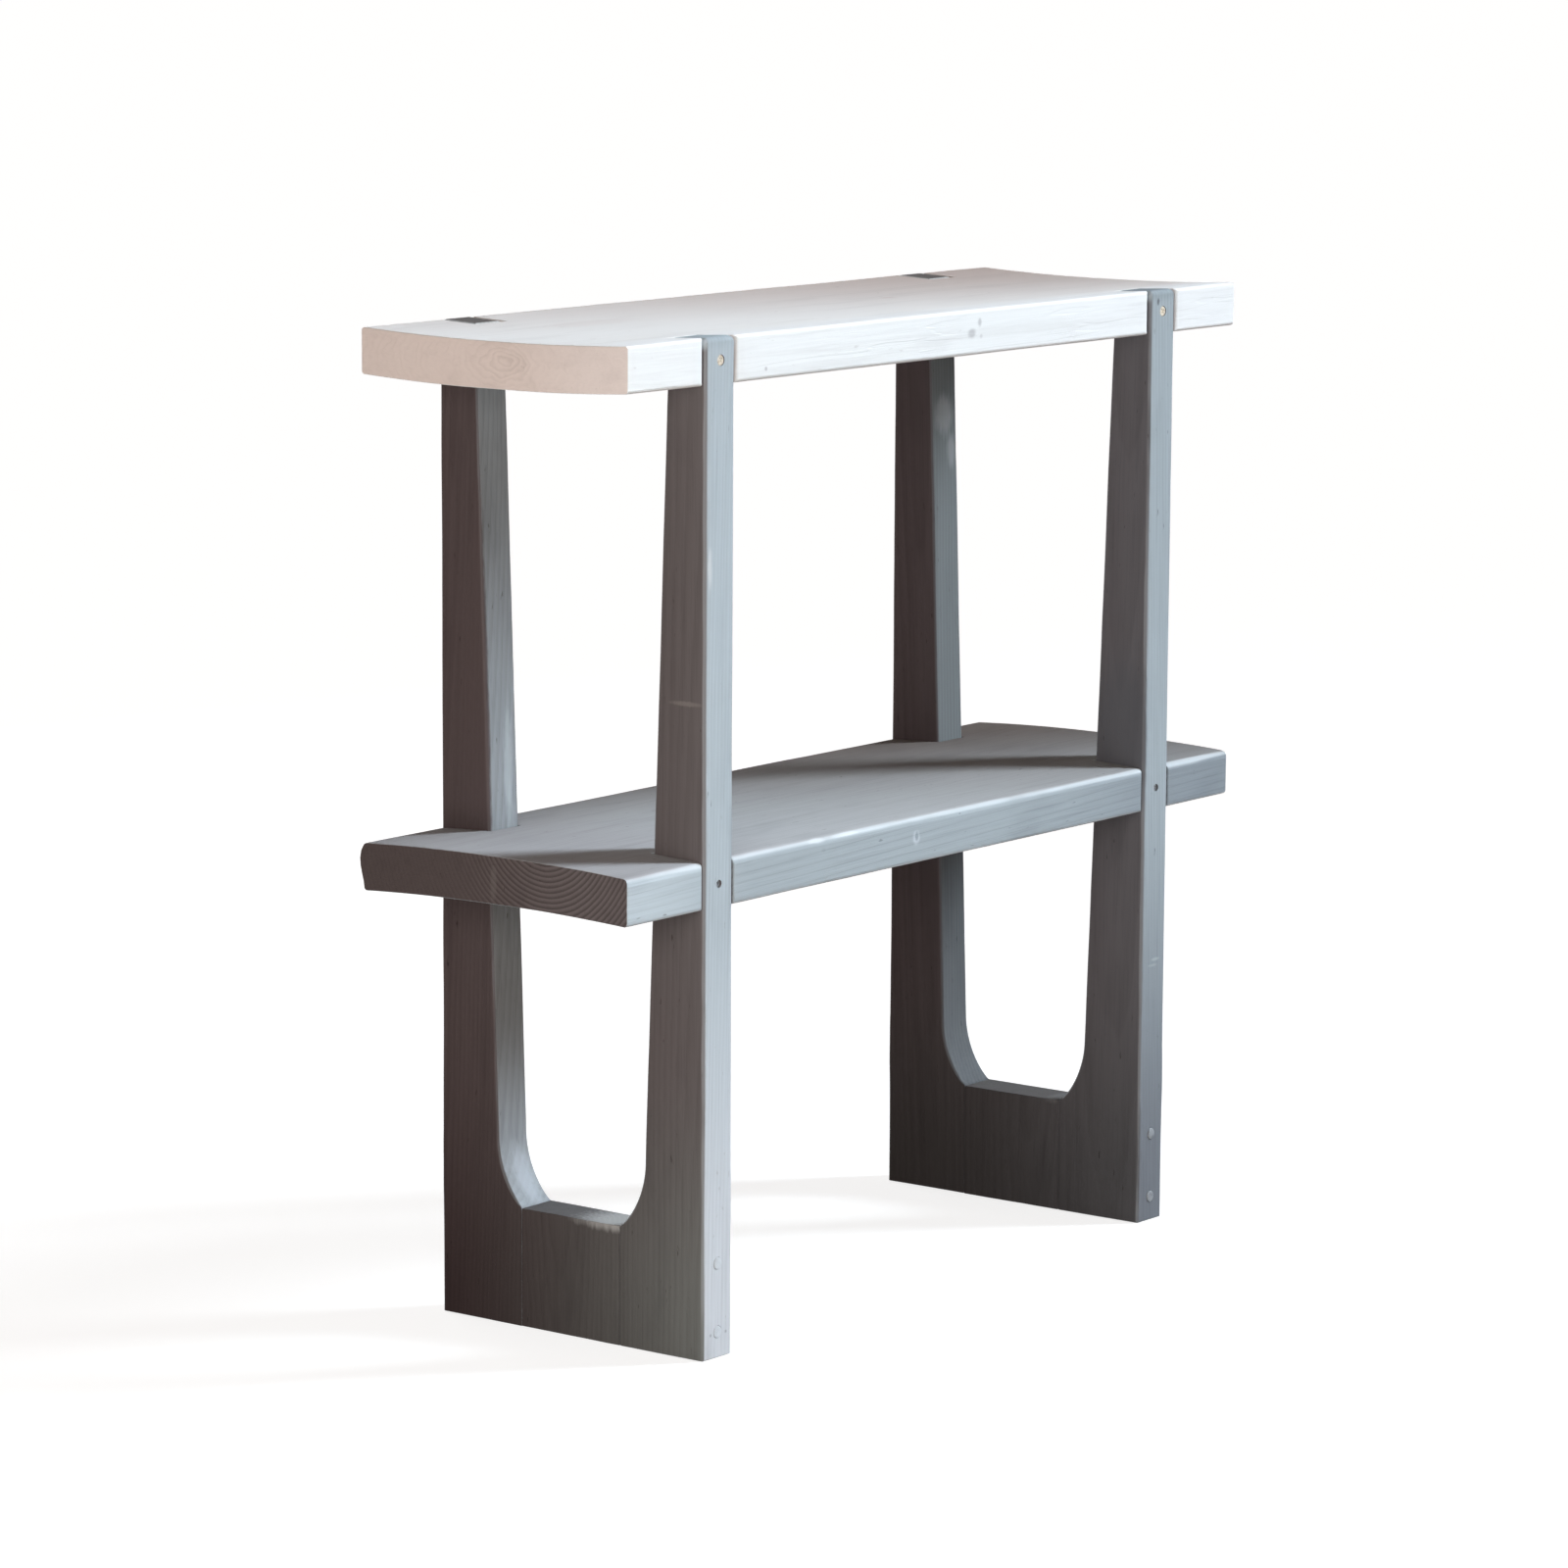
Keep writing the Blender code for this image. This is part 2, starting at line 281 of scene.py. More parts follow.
def softbox(name, lamp):
    """A rectangular lamp that looks at the stand. Radiance 1 is as bright as a lit white card."""
    data = bpy.data.lights.new(name, "AREA")
    data.shape = "RECTANGLE"
    width, height = lamp["size"]
    data.size = width
    data.size_y = height
    data.color = lamp["colour"]
    data.spread = math.radians(lamp.get("spread", WIDEST_SPREAD))
    data.energy = lamp["radiance"] * math.pi * width * height
    box = bpy.data.objects.new(name, data)
    bpy.context.scene.collection.objects.link(box)
    direction = Vector(lamp["towards"]).normalized()
    box.location = Vector(lamp.get("target", STAND_MIDDLE)) + lamp["distance"] * direction
    box.rotation_euler = direction.to_track_quat("Z", "Y").to_euler()
    box.visible_glossy = lamp.get("reflected", True)
    print(name, "at", [round(part, 2) for part in box.location], round(data.energy, 1), "W")


for lamp_name, lamp_settings in LAMPS.items():
    softbox(lamp_name, lamp_settings)

# %% [markdown]
# ## Small helpers for modelling
# Blender's operators act on whatever is selected, as the hand does on the workbench. The helpers below
# start from a box of the piece's size, saw it into strips with bisect, pick points, edges or faces by their
# place, and apply modifiers, so each piece below is a short list of workshop steps.

# %% Modelling helpers
SAME_PLACE = 1e-5
SHARP_EDGE = math.radians(25.0)
SMOOTH_BELOW = math.radians(35.0)
BROAD_FACE_WEIGHT = 80


def deselect():
    if bpy.context.object and bpy.context.object.mode != "OBJECT":
        bpy.ops.object.mode_set(mode="OBJECT")
    bpy.ops.object.select_all(action="DESELECT")


def make_active(piece):
    deselect()
    piece.select_set(True)
    bpy.context.view_layer.objects.active = piece


def named(piece, name):
    """Gives a piece and its mesh one name."""
    piece.name = name
    piece.data.name = name
    return piece


def new_block(name, low, high):
    """A box between two corners, its place in its mesh."""
    deselect()
    bpy.ops.mesh.primitive_cube_add(size=1.0, location=(low + high) / 2)
    block = named(bpy.context.object, name)
    block.scale = high - low
    bpy.ops.object.transform_apply()
    return block


def twin_of(piece, name):
    """A copy of a piece with its own mesh."""
    make_active(piece)
    bpy.ops.object.duplicate(linked=False)
    return named(bpy.context.object, name)


def saw(axis, places):
    """In edit mode, cuts lines round the whole piece square to one axis."""
    direction = Vector((axis == 0, axis == 1, axis == 2))
    for place in places:
        bpy.ops.mesh.select_all(action="SELECT")
        bpy.ops.mesh.bisect(plane_co=place * direction, plane_no=direction)


def pick(kind, test, open_only=False):
    """In edit mode, selects the points, edges or faces that pass a test on their corners' places.

    Open only leaves out those that aren't on the rim of an opening.
    """
    bpy.ops.mesh.select_mode(type=kind)
    bpy.ops.mesh.select_all(action="DESELECT")
    mesh = bpy.context.object.data
    shape = bmesh.from_edit_mesh(mesh)
    for part in {"VERT": shape.verts, "EDGE": shape.edges, "FACE": shape.faces}[kind]:
        corners = [part.co] if kind == "VERT" else [corner.co for corner in part.verts]
        if test(corners) and (not open_only or part.is_boundary):
            part.select = True
    shape.select_flush_mode()
    bmesh.update_edit_mesh(mesh)


def spaced(stops, step):
    """The stops themselves, less the first and last, with even places between them at most a step apart."""
    places = []
    for first, second in zip(stops, stops[1:]):
        count = max(1, math.ceil((second - first) / step - SAME_PLACE))
        places += [first + (second - first) * index / count for index in range(count)]
    return places[1:]


def apply_modifier(piece, kind, **settings):
    make_active(piece)
    modifier = piece.modifiers.new(kind.lower(), kind)
    for setting, value in settings.items():
        setattr(modifier, setting, value)
    bpy.ops.object.modifier_apply(modifier=modifier.name)


def cut_away(piece, cutter):
    """Takes a cutter's shape out of a piece, and the cutter off the bench."""
    apply_modifier(piece, "BOOLEAN", object=cutter, operation="DIFFERENCE", solver="EXACT")
    bpy.data.objects.remove(cutter)


def round_edges(piece, weight_of, width, segments=4):
    """Rounds the sharp edges, each by a share of the width that a rule on its two ends gives."""
    mesh = piece.data
    shape = bmesh.new()
    shape.from_mesh(mesh)
    layer = shape.edges.layers.float.new("bevel_weight_edge")
    for edge in shape.edges:
        if len(edge.link_faces) == 2 and edge.calc_face_angle() > SHARP_EDGE:
            edge[layer] = weight_of(edge.verts[0].co, edge.verts[1].co)
    shape.to_mesh(mesh)
    shape.free()
    apply_modifier(piece, "BEVEL", width=width, segments=segments, limit_method="WEIGHT")
    weights = mesh.attributes.get("bevel_weight_edge")
    if weights:
        mesh.attributes.remove(weights)


def wander(piece, amount, size):
    """Lets the faces wander a little off flat, as planed and sanded softwood does."""
    pattern = bpy.data.textures.new(piece.name + "_wander", "CLOUDS")
    pattern.noise_scale = size
    apply_modifier(piece, "DISPLACE", texture=pattern, texture_coords="LOCAL", strength=amount)
    bpy.data.textures.remove(pattern)


def smooth(piece):
    """Shades the round arrises smoothly and keeps the broad faces flat."""
    make_active(piece)
    bpy.ops.object.shade_smooth_by_angle(angle=SMOOTH_BELOW)
    apply_modifier(piece, "WEIGHTED_NORMAL", keep_sharp=True, weight=BROAD_FACE_WEIGHT)


def tell(piece):
    triangles = sum(len(face.vertices) - 2 for face in piece.data.polygons)
    print(piece.name, "has", triangles, "triangles")


print("modelling helpers ready")

# %% [markdown]
# ## Sizes that the pieces share
# The shelves are one board thickness, and so are the legs. Most sizes come from the frame's boxes. The rest,
# the taper of a leg, the round of its throat and the gaps, are the stand's own. A corner of the stand has a
# side, left or right, and an edge, front or back, which are written as -1 or 1.

# %% Shared sizes
BOARD = 0.038
LEG_LOW, LEG_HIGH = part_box("left_front_leg")
LEG_TOP = LEG_HIGH.z
BLOCK_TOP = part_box("left_centre_block")[1].z
HALF_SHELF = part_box("top_shelf")[1].y
HALF_DEPTH = -LEG_LOW.y
FOOT_INNER = -LEG_HIGH.y
FORK_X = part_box("right_front_leg")[0].x + BOARD / 2
TINE_TOP = 0.038
TINE_TAPER = math.radians(1.95)
THROAT_RADIUS = 0.080
NOTCH_GAP = 0.0003
HOLE_GAP = 0.0003
CUP_FLAT = HALF_SHELF / 9
TOP_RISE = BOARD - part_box("top_shelf")[1].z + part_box("top_shelf")[0].z
CORNERS = {
    "left_front": (-1, -1),
    "left_back": (-1, 1),
    "right_front": (1, -1),
    "right_back": (1, 1),
}


def cup(distance, rise):
    """How far a cupped board lies off level at this distance from its middle line."""
    share = (abs(distance) - CUP_FLAT) / (HALF_SHELF - CUP_FLAT)
    return rise * (1.0 - min(max(share, 0.0), 1.0) ** 2)


def tine_width(height):
    return TINE_TOP + (LEG_TOP - height) * math.tan(TINE_TAPER)


def middle_height(node_name):
    low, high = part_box(node_name)
    return (low.z + high.z) / 2


print("board", BOARD, "leg height", round(LEG_TOP, 4), "fork at", round(FORK_X, 4))

# %% [markdown]
# ## The shelves
# Each shelf is one wide plank. The top plank is dished and the lower one crowned by about four millimetres,
# as wide planks do when they dry. A plank starts as a box. Sawn lines give it a grid, each line is lifted by
# the cup, the four notches are taken out face by face and their walls bridged, and a bevel rounds the
# arrises: generous along the plank, tight at the left ends. The lower plank's back edge swells a little.

# %% Shelf modelling
SHELF_GRID = 0.0145
SHELF_WANDER = (0.0007, 0.09)
SWELL_LINES = 6
SHELF_FORMS = {
    "top_shelf": {"swell": 0.0, "thicker": 0.0, "roundest": 0.0060},
    "lower_shelf": {"swell": 0.0022, "thicker": 0.0012, "roundest": 0.0100},
}
SHELF_ROUNDS = {
    "top_shelf": {"front": 0.55, "under": 0.55, "back": 0.60, "notch": 1.0, "left": 0.20, "right": 0.50},
    "lower_shelf": {"front": 0.85, "under": 0.50, "back": 0.40, "notch": 0.40, "left": 0.15, "right": 0.40},
}


def in_notch(point, floor_y):
    beside_leg = abs(abs(point.x) - FORK_X) < BOARD / 2 + NOTCH_GAP + SAME_PLACE
    return beside_leg and abs(point.y) > floor_y - SAME_PLACE


def bridge_notch(side, edge):
    """Joins a notch's upper rim to its lower rim, which makes its three walls."""

    def on_rim(ends):
        near = all(abs(end.x - side * FORK_X) < BOARD for end in ends)
        level = abs(ends[0].z - ends[1].z) < BOARD / 2
        return near and level and (ends[0].y + ends[1].y) * edge > 0.0

    pick("EDGE", on_rim, open_only=True)
    bpy.ops.mesh.bridge_edge_loops()


def swell_back(back_y, middle_z, swell):
    """Draws the back wall out into a gentle round: lines along it, each pushed out by its height."""
    for line in range(1, SWELL_LINES):
        height = middle_z + BOARD * (line / SWELL_LINES - 0.5)
        saw(2, [height])
        pick("VERT", lambda ends: abs(ends[0].z - height) < SAME_PLACE and ends[0].y > back_y - SAME_PLACE)
        share = 1.0 - (2.0 * line / SWELL_LINES - 1.0) ** 2
        bpy.ops.transform.translate(value=(0.0, swell * share, 0.0))


def model_shelf(name, form):
    """One plank, cupped and notched for four legs, with the height of its edge's top and its rise."""
    low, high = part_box(name)
    cupped = high.z - low.z - BOARD
    rise = -cupped if name == "top_shelf" else cupped
    edge_top = high.z if rise < 0 else high.z - cupped
    wall = BOARD / 2 + NOTCH_GAP
    notch_floor = HALF_DEPTH - tine_width(low.z) - NOTCH_GAP
    underside = edge_top - BOARD - form["thicker"]
    plank = new_block(name + "_plank", Vector((low.x, low.y, underside)), Vector((high.x, high.y, edge_top)))
    x_stops = [low.x, -FORK_X - wall, -FORK_X + wall, FORK_X - wall, FORK_X + wall, high.x]
    y_places = spaced([low.y, -notch_floor, notch_floor, high.y], SHELF_GRID)
    bpy.ops.object.mode_set(mode="EDIT")
    saw(0, spaced(x_stops, SHELF_GRID))
    saw(1, y_places)
    for place in [low.y, *y_places, high.y]:
        pick("VERT", lambda corners: abs(corners[0].y - place) < SAME_PLACE)
        bpy.ops.transform.translate(value=(0.0, 0.0, cup(place, rise)))
    pick("FACE", lambda corners: all(in_notch(corner, notch_floor) for corner in corners))
    bpy.ops.mesh.delete(type="FACE")
    for side, edge in CORNERS.values():
        bridge_notch(side, edge)
    bpy.ops.mesh.select_all(action="SELECT")
    bpy.ops.mesh.normals_make_consistent(inside=False)
    if form["swell"]:
        swell_back(high.y, edge_top - BOARD / 2, form["swell"])
    bpy.ops.object.mode_set(mode="OBJECT")
    return plank, edge_top, rise


def shelf_weight(name, edge_top, rise):
    """The rule for rounding a shelf's edges, as a share of its roundest one."""
    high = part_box(name)[1]
    shares = SHELF_ROUNDS[name]

    def weight(first, second):
        centre = (first + second) / 2
        along = abs(first.x - second.x) > SAME_PLACE
        upright = abs(first.z - second.z) > abs(first.x - second.x) + abs(first.y - second.y)
        at_end = abs(abs(centre.x) - high.x) < SAME_PLACE
        at_side = abs(centre.y) > HALF_SHELF - SAME_PLACE
        upper = centre.z > edge_top - BOARD / 2 + cup(centre.y, rise)
        if upright and at_side and not at_end:
            return shares["notch"]
        if along and at_side and centre.y > 0.0:
            return shares["back"]
        if along and at_side:
            return shares["front" if upper else "under"]
        return shares["right" if at_end and centre.x > 0.0 else "left"]

    return weight


pieces = {}
for shelf_name, shelf_form in SHELF_FORMS.items():
    shelf, shelf_edge_top, shelf_rise = model_shelf(shelf_name, shelf_form)
    round_edges(shelf, shelf_weight(shelf_name, shelf_edge_top, shelf_rise), shelf_form["roundest"])
    wander(shelf, *SHELF_WANDER)
    smooth(shelf)
    tell(shelf)
    pieces[shelf_name] = shelf

# %% [markdown]
# ## The legs
# A leg is a plank on edge: wide at the foot, then hollowed by a round throat, then a slim taper to the top.
# It starts as a box of the foot's width. Each sawn line is squeezed towards the outer face until the inner
# face follows the throat and the taper. One leg is modelled, and the four legs are copies, turned or moved.

# %% Leg modelling
LEG_ARRIS = 0.0060
LEG_ROUNDS = {"outer": 0.65, "top_sides": 1.0, "top_ends": 0.8, "foot": 0.2, "glued": 0.01, "inner": 0.45}
THROAT_STEPS = 22
TINE_STEP = 0.020
FOOT_STEP = 0.0167
LEG_COLUMNS = 4
LEG_LAYERS = 3
SMALL_RISE = BOARD / 10


def throat_circle():
    """Centre of the throat's arc and the height where it leaves the taper, in the fork's own plane."""
    down = Vector((-math.sin(TINE_TAPER), -math.cos(TINE_TAPER)))
    inward = Vector((-math.cos(TINE_TAPER), math.sin(TINE_TAPER)))
    top_inner = Vector((HALF_DEPTH - TINE_TOP, LEG_TOP))
    corner = Vector((FOOT_INNER, BLOCK_TOP)) - top_inner
    across = corner.dot(inward)
    start = corner.dot(down) - math.sqrt(across * (2.0 * THROAT_RADIUS - across))
    leaves = top_inner + start * down
    return leaves + THROAT_RADIUS * inward, leaves.y


THROAT_CENTRE, THROAT_LEAVES = throat_circle()


def leg_width(height):
    """Width of a leg at this height: the foot, then the throat's arc, then the taper."""
    if height <= BLOCK_TOP + SAME_PLACE:
        return HALF_DEPTH - FOOT_INNER
    if height >= THROAT_LEAVES:
        return tine_width(height)
    drop = height - THROAT_CENTRE.y
    return HALF_DEPTH - THROAT_CENTRE.x - math.sqrt(THROAT_RADIUS**2 - drop**2)


def leg_lines():
    """The heights at which a leg is sawn: even in the foot, closer round the throat, even up the taper."""
    first_angle = math.asin((THROAT_CENTRE.y - BLOCK_TOP) / THROAT_RADIUS)
    last_angle = math.asin((THROAT_CENTRE.y - THROAT_LEAVES) / THROAT_RADIUS)
    throat = []
    for step in range(1, THROAT_STEPS):
        angle = first_angle + (last_angle - first_angle) * step / THROAT_STEPS
        throat.append(THROAT_CENTRE.y - THROAT_RADIUS * math.sin(angle))
    foot = spaced([0.0, BLOCK_TOP], FOOT_STEP)
    tine = spaced([THROAT_LEAVES, LEG_TOP], TINE_STEP)
    return [*foot, BLOCK_TOP, *throat, THROAT_LEAVES, *tine]


def model_leg():
    """The left front leg, before its holes are drilled."""
    leg = new_block("leg_plank", LEG_LOW, Vector((LEG_HIGH.x, LEG_HIGH.y, LEG_TOP)))
    foot = HALF_DEPTH - FOOT_INNER
    heights = leg_lines()
    bpy.ops.object.mode_set(mode="EDIT")
    saw(2, heights)
    saw(1, [-HALF_DEPTH + foot * column / LEG_COLUMNS for column in range(1, LEG_COLUMNS)])
    saw(0, [LEG_LOW.x + BOARD * layer / LEG_LAYERS for layer in range(1, LEG_LAYERS)])
    for height in [*heights, LEG_TOP]:
        pick("VERT", lambda corners: abs(corners[0].z - height) < SAME_PLACE)
        squeeze = (1.0, leg_width(height) / foot, 1.0)
        bpy.ops.transform.resize(value=squeeze, center_override=(0.0, -HALF_DEPTH, height))
    for column in range(1, LEG_COLUMNS + 1):
        place = TINE_TOP * column / LEG_COLUMNS - HALF_DEPTH
        pick("VERT", lambda ends: ends[0].z > LEG_TOP - SAME_PLACE and abs(ends[0].y - place) < SAME_PLACE)
        bpy.ops.transform.translate(value=(0.0, 0.0, cup(place, TOP_RISE)))
    bpy.ops.object.mode_set(mode="OBJECT")
    return leg


def leg_weight(first, second):
    """The rule for rounding a leg's edges, as a share of its roundest ones, the two sides of its top."""
    centre = (first + second) / 2
    upright = abs(first.z - second.z) > SMALL_RISE
    if upright and abs(centre.y + HALF_DEPTH) < SAME_PLACE:
        return LEG_ROUNDS["outer"]
    if centre.z > LEG_TOP - SMALL_RISE and not upright:
        along_fork = abs(first.y - second.y) > SAME_PLACE
        return LEG_ROUNDS["top_sides" if along_fork else "top_ends"]
    if centre.z < SAME_PLACE:
        return LEG_ROUNDS["foot"]
    if centre.z < BLOCK_TOP + SAME_PLACE:
        return LEG_ROUNDS["glued"]
    return LEG_ROUNDS["inner"]


first_leg = model_leg()
round_edges(first_leg, leg_weight, LEG_ARRIS)
tell(first_leg)

# %% [markdown]
# Each copy first gets its own wander, so that no two legs are the same. Then the holes for two screws and
# two dowels are bored into its outer face with a Boolean modifier.

# %% Leg copies
LEG_WANDER = (0.0007, 0.07)
DRILL_SIDES = 32
DRILL_START = 0.004
SCREWS = {
    "top_screw": {"head": 0.0043, "hole": 0.0040, "sunk": 0.0004},
    "lower_screw": {"head": 0.0031, "hole": 0.0080, "sunk": 0.0014},
}
DOWEL_RADIUS = 0.0050
DOWEL_HOLE = 0.0040
DOWEL_LEVELS = ("lower", "upper")


def leg_at(corner, side, edge):
    """A copy of the first leg at its corner: turned half round in its own fork, then moved to the other."""
    leg = twin_of(first_leg, f"{corner}_leg_plank")
    bpy.ops.object.mode_set(mode="EDIT")
    bpy.ops.mesh.select_all(action="SELECT")
    if edge > 0:
        bpy.ops.transform.rotate(value=math.pi, orient_axis="Z", center_override=(-FORK_X, 0.0, 0.0))
    bpy.ops.transform.translate(value=((side + 1) * FORK_X, 0.0, 0.0))
    bpy.ops.object.mode_set(mode="OBJECT")
    return leg


def drill(leg, side, edge, height, radius, depth):
    """Bores a round hole into a leg's outer face, from a cylinder that starts outside it."""
    deselect()
    bpy.ops.mesh.primitive_cylinder_add(
        vertices=DRILL_SIDES,
        radius=radius + HOLE_GAP,
        depth=depth + DRILL_START,
        location=(side * FORK_X, edge * (HALF_DEPTH + (DRILL_START - depth) / 2), height),
        rotation=(math.pi / 2, 0.0, 0.0),
    )
    cut_away(leg, bpy.context.object)


for corner, (side, edge) in CORNERS.items():
    leg = leg_at(corner, side, edge)
    wander(leg, *LEG_WANDER)
    for screw_name, screw_form in SCREWS.items():
        screw_height = middle_height(screw_name + "_left_front")
        drill(leg, side, edge, screw_height, screw_form["head"], screw_form["hole"])
    for level in DOWEL_LEVELS:
        drill(leg, side, edge, middle_height(f"foot_dowel_left_front_{level}"), DOWEL_RADIUS, DOWEL_HOLE)
    smooth(leg)
    tell(leg)
    pieces[corner + "_leg"] = leg
bpy.data.objects.remove(first_leg)

# %% [markdown]
# ## The centre blocks
# A block fills the fork between the two feet. Its grain stands upright like the legs', and its top is the
# flat floor of the throat, sawn and hardly sanded, so its wander is shorter than on the planed faces.

# %% Centre blocks
BLOCK_STEP = 0.0130
BLOCK_ARRIS = 0.0011
BLOCK_WANDER = (0.0006, 0.03)
GLUED_SHARE = 0.05


def block_weight(first, second):
    """The top and bottom edges are eased, and the glued edges hardly at all."""
    upright = abs(first.z - second.z) > SAME_PLACE
    return GLUED_SHARE if upright else 1.0


for side_name in ("left", "right"):
    node_name = f"{side_name}_centre_block"
    block_low, block_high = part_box(node_name)
    block = new_block(node_name + "_wood", block_low, block_high)
    bpy.ops.object.mode_set(mode="EDIT")
    for axis in range(3):
        saw(axis, spaced([block_low[axis], block_high[axis]], BLOCK_STEP))
    bpy.ops.object.mode_set(mode="OBJECT")
    round_edges(block, block_weight, BLOCK_ARRIS, segments=3)
    wander(block, *BLOCK_WANDER)
    smooth(block)
    tell(block)
    pieces[node_name] = block

# %% [markdown]
# ## Screws
# Each shelf is held by one screw through each leg. The upper ones are yellow zinc and sit almost flush. The
# lower ones are dark and sunk a little deeper. All have a cross recess. A screw starts as a disc, the head,
# and is drawn out by extruding and resizing its last face: the cone under the head, the shank, the point.

# %% Screw modelling
SCREW_SIDES = 32
HEAD_RIM = 0.0004
HEAD_CONE = 0.0030
SHANK_RADIUS = 0.0022
POINT_RADIUS = SHANK_RADIUS / 8
POINT_LENGTH = 0.0060
RECESS_WIDTH = 0.0012
RECESS_DEPTH = 0.0006
RECESS_SHARE = 1.15
RECESS_TURN = math.pi / 5


def draw_out(radius_from, radius_to, length):
    """Extrudes the selected disc down by a length and resizes it to its new radius."""
    bpy.ops.mesh.extrude_region_move(TRANSFORM_OT_translate={"value": (0.0, 0.0, -length)})
    share = radius_to / radius_from
    bpy.ops.transform.resize(value=(share, share, 1.0))


def model_screw(name, head_radius, length):
    """A countersunk screw with its head's face at the origin, pointing down."""
    deselect()
    bpy.ops.mesh.primitive_circle_add(vertices=SCREW_SIDES, radius=head_radius, fill_type="NGON")
    screw = bpy.context.object
    screw.name = name
    bpy.ops.object.mode_set(mode="EDIT")
    bpy.ops.mesh.select_all(action="SELECT")
    draw_out(head_radius, head_radius, HEAD_RIM)
    draw_out(head_radius, SHANK_RADIUS, HEAD_CONE - HEAD_RIM)
    draw_out(SHANK_RADIUS, SHANK_RADIUS, length - HEAD_CONE - POINT_LENGTH)
    draw_out(SHANK_RADIUS, POINT_RADIUS, POINT_LENGTH)
    bpy.ops.mesh.select_all(action="SELECT")
    bpy.ops.mesh.normals_make_consistent(inside=False)
    pick("EDGE", lambda corners: all(abs(corner.z) < SAME_PLACE for corner in corners))
    bpy.ops.mesh.bevel(offset=HEAD_RIM / 2, segments=2, affect="EDGES")
    bpy.ops.object.mode_set(mode="OBJECT")
    for turn in (0.0, math.pi / 2):
        deselect()
        bpy.ops.mesh.primitive_cube_add(size=1.0, rotation=(0.0, 0.0, turn + RECESS_TURN))
        slot = bpy.context.object
        slot.scale = (RECESS_WIDTH, RECESS_SHARE * head_radius, 2.0 * RECESS_DEPTH)
        cut_away(screw, slot)
    return screw


def set_in_leg(piece, name, place, edge):
    """A copy of an upright piece, laid into a leg's outer face with its top outwards, and shaded."""
    twin = twin_of(piece, name)
    twin.location = place
    twin.rotation_euler = (-edge * math.pi / 2, 0.0, 0.0)
    bpy.ops.object.transform_apply()
    smooth(twin)
    return twin


for screw_name, screw_form in SCREWS.items():
    screw_low, screw_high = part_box(screw_name + "_left_front")
    pattern_screw = model_screw(screw_name, screw_form["head"], screw_high.y - screw_low.y)
    screw_height = middle_height(screw_name + "_left_front")
    for corner, (side, edge) in CORNERS.items():
        node_name = f"{screw_name}_{corner}"
        place = (side * FORK_X, edge * (HALF_DEPTH - screw_form["sunk"]), screw_height)
        pieces[node_name] = set_in_leg(pattern_screw, node_name + "_steel", place, edge)
    tell(pieces[node_name])
    bpy.data.objects.remove(pattern_screw)

# %% [markdown]
# ## Dowels
# Two dowels pin each foot to its block, and their ends stand a hair proud of the leg's face. A dowel is a
# cylinder whose end rims are bevelled and whose outer end is inset and pushed out into a shallow dome.

# %% Dowel modelling
DOWEL_SIDES = 32
DOWEL_EASE = 0.0008
DOWEL_DOME = 0.0002


def model_dowel(length):
    """A dowel with its proud end at the origin, pointing down."""
    deselect()
    bpy.ops.mesh.primitive_cylinder_add(
        vertices=DOWEL_SIDES,
        radius=DOWEL_RADIUS,
        depth=length,
        location=(0.0, 0.0, -length / 2),
    )
    dowel = bpy.context.object
    dowel.name = "dowel"
    bpy.ops.object.transform_apply()
    bpy.ops.object.mode_set(mode="EDIT")
    pick("EDGE", lambda corners: abs(corners[0].z - corners[1].z) < SAME_PLACE)
    bpy.ops.mesh.bevel(offset=DOWEL_EASE, segments=3, affect="EDGES")
    pick("FACE", lambda corners: all(abs(corner.z) < SAME_PLACE for corner in corners))
    bpy.ops.mesh.inset(thickness=DOWEL_RADIUS / 2)
    bpy.ops.transform.translate(value=(0.0, 0.0, DOWEL_DOME))
    bpy.ops.object.mode_set(mode="OBJECT")
    return dowel


dowel_low, dowel_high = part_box("foot_dowel_left_front_lower")
pattern_dowel = model_dowel(dowel_high.y - dowel_low.y)
for corner, (side, edge) in CORNERS.items():
    for level in DOWEL_LEVELS:
        node_name = f"foot_dowel_{corner}_{level}"
        dowel_low, dowel_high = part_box(node_name)
        proud_face = dowel_low.y if edge < 0 else dowel_high.y
        place = (side * FORK_X, proud_face, middle_height(node_name))
        pieces[node_name] = set_in_leg(pattern_dowel, node_name + "_wood", place, edge)
tell(pieces[node_name])
bpy.data.objects.remove(pattern_dowel)
print("pieces modelled:", len(pieces))

# %% [markdown]
# ## Wood from the inside
# A tree adds a ring each year, pale in spring and dark in late summer, so a plank is a slice through nested
# tubes. The patterns below are solid: they ask where a point lies in its tree, not where it lies on a face.
# Long faces then show stripes and arches, sawn ends show arcs, and the two meet properly at every edge.

# %% Wood patterns
GRAIN_AXES = {"shelf": (0, 1, 2), "leg": (2, 1, 0)}
RING_SPACING = 0.0042
DARK_GRAIN = (0.42, 0.44, 0.45)
DIM_GRAIN = (0.09, 0.09, 0.085)
SEED_SHIFT = (1.0, 1.7, 0.3)
ACROSS_GRAIN = (0.0, 1.0, 1.0)
DRIFT_SCALE = (2.4, 17.0, 17.0)
PATCH_SCALE = (9.0, 24.0, 24.0)
PORE_SCALE = (70.0, 300.0, 300.0)
LATE_WOOD = (0.20, 0.84)
YEAR_END = (1.0, 0.90)
BANDS_SHOW = (0.48, 0.70)
FIBRES_SHOW = (0.44, 0.72)
BLOTCHES_SHOW = (0.48, 0.26)
PORES_SHOW = (0.70, 0.80)


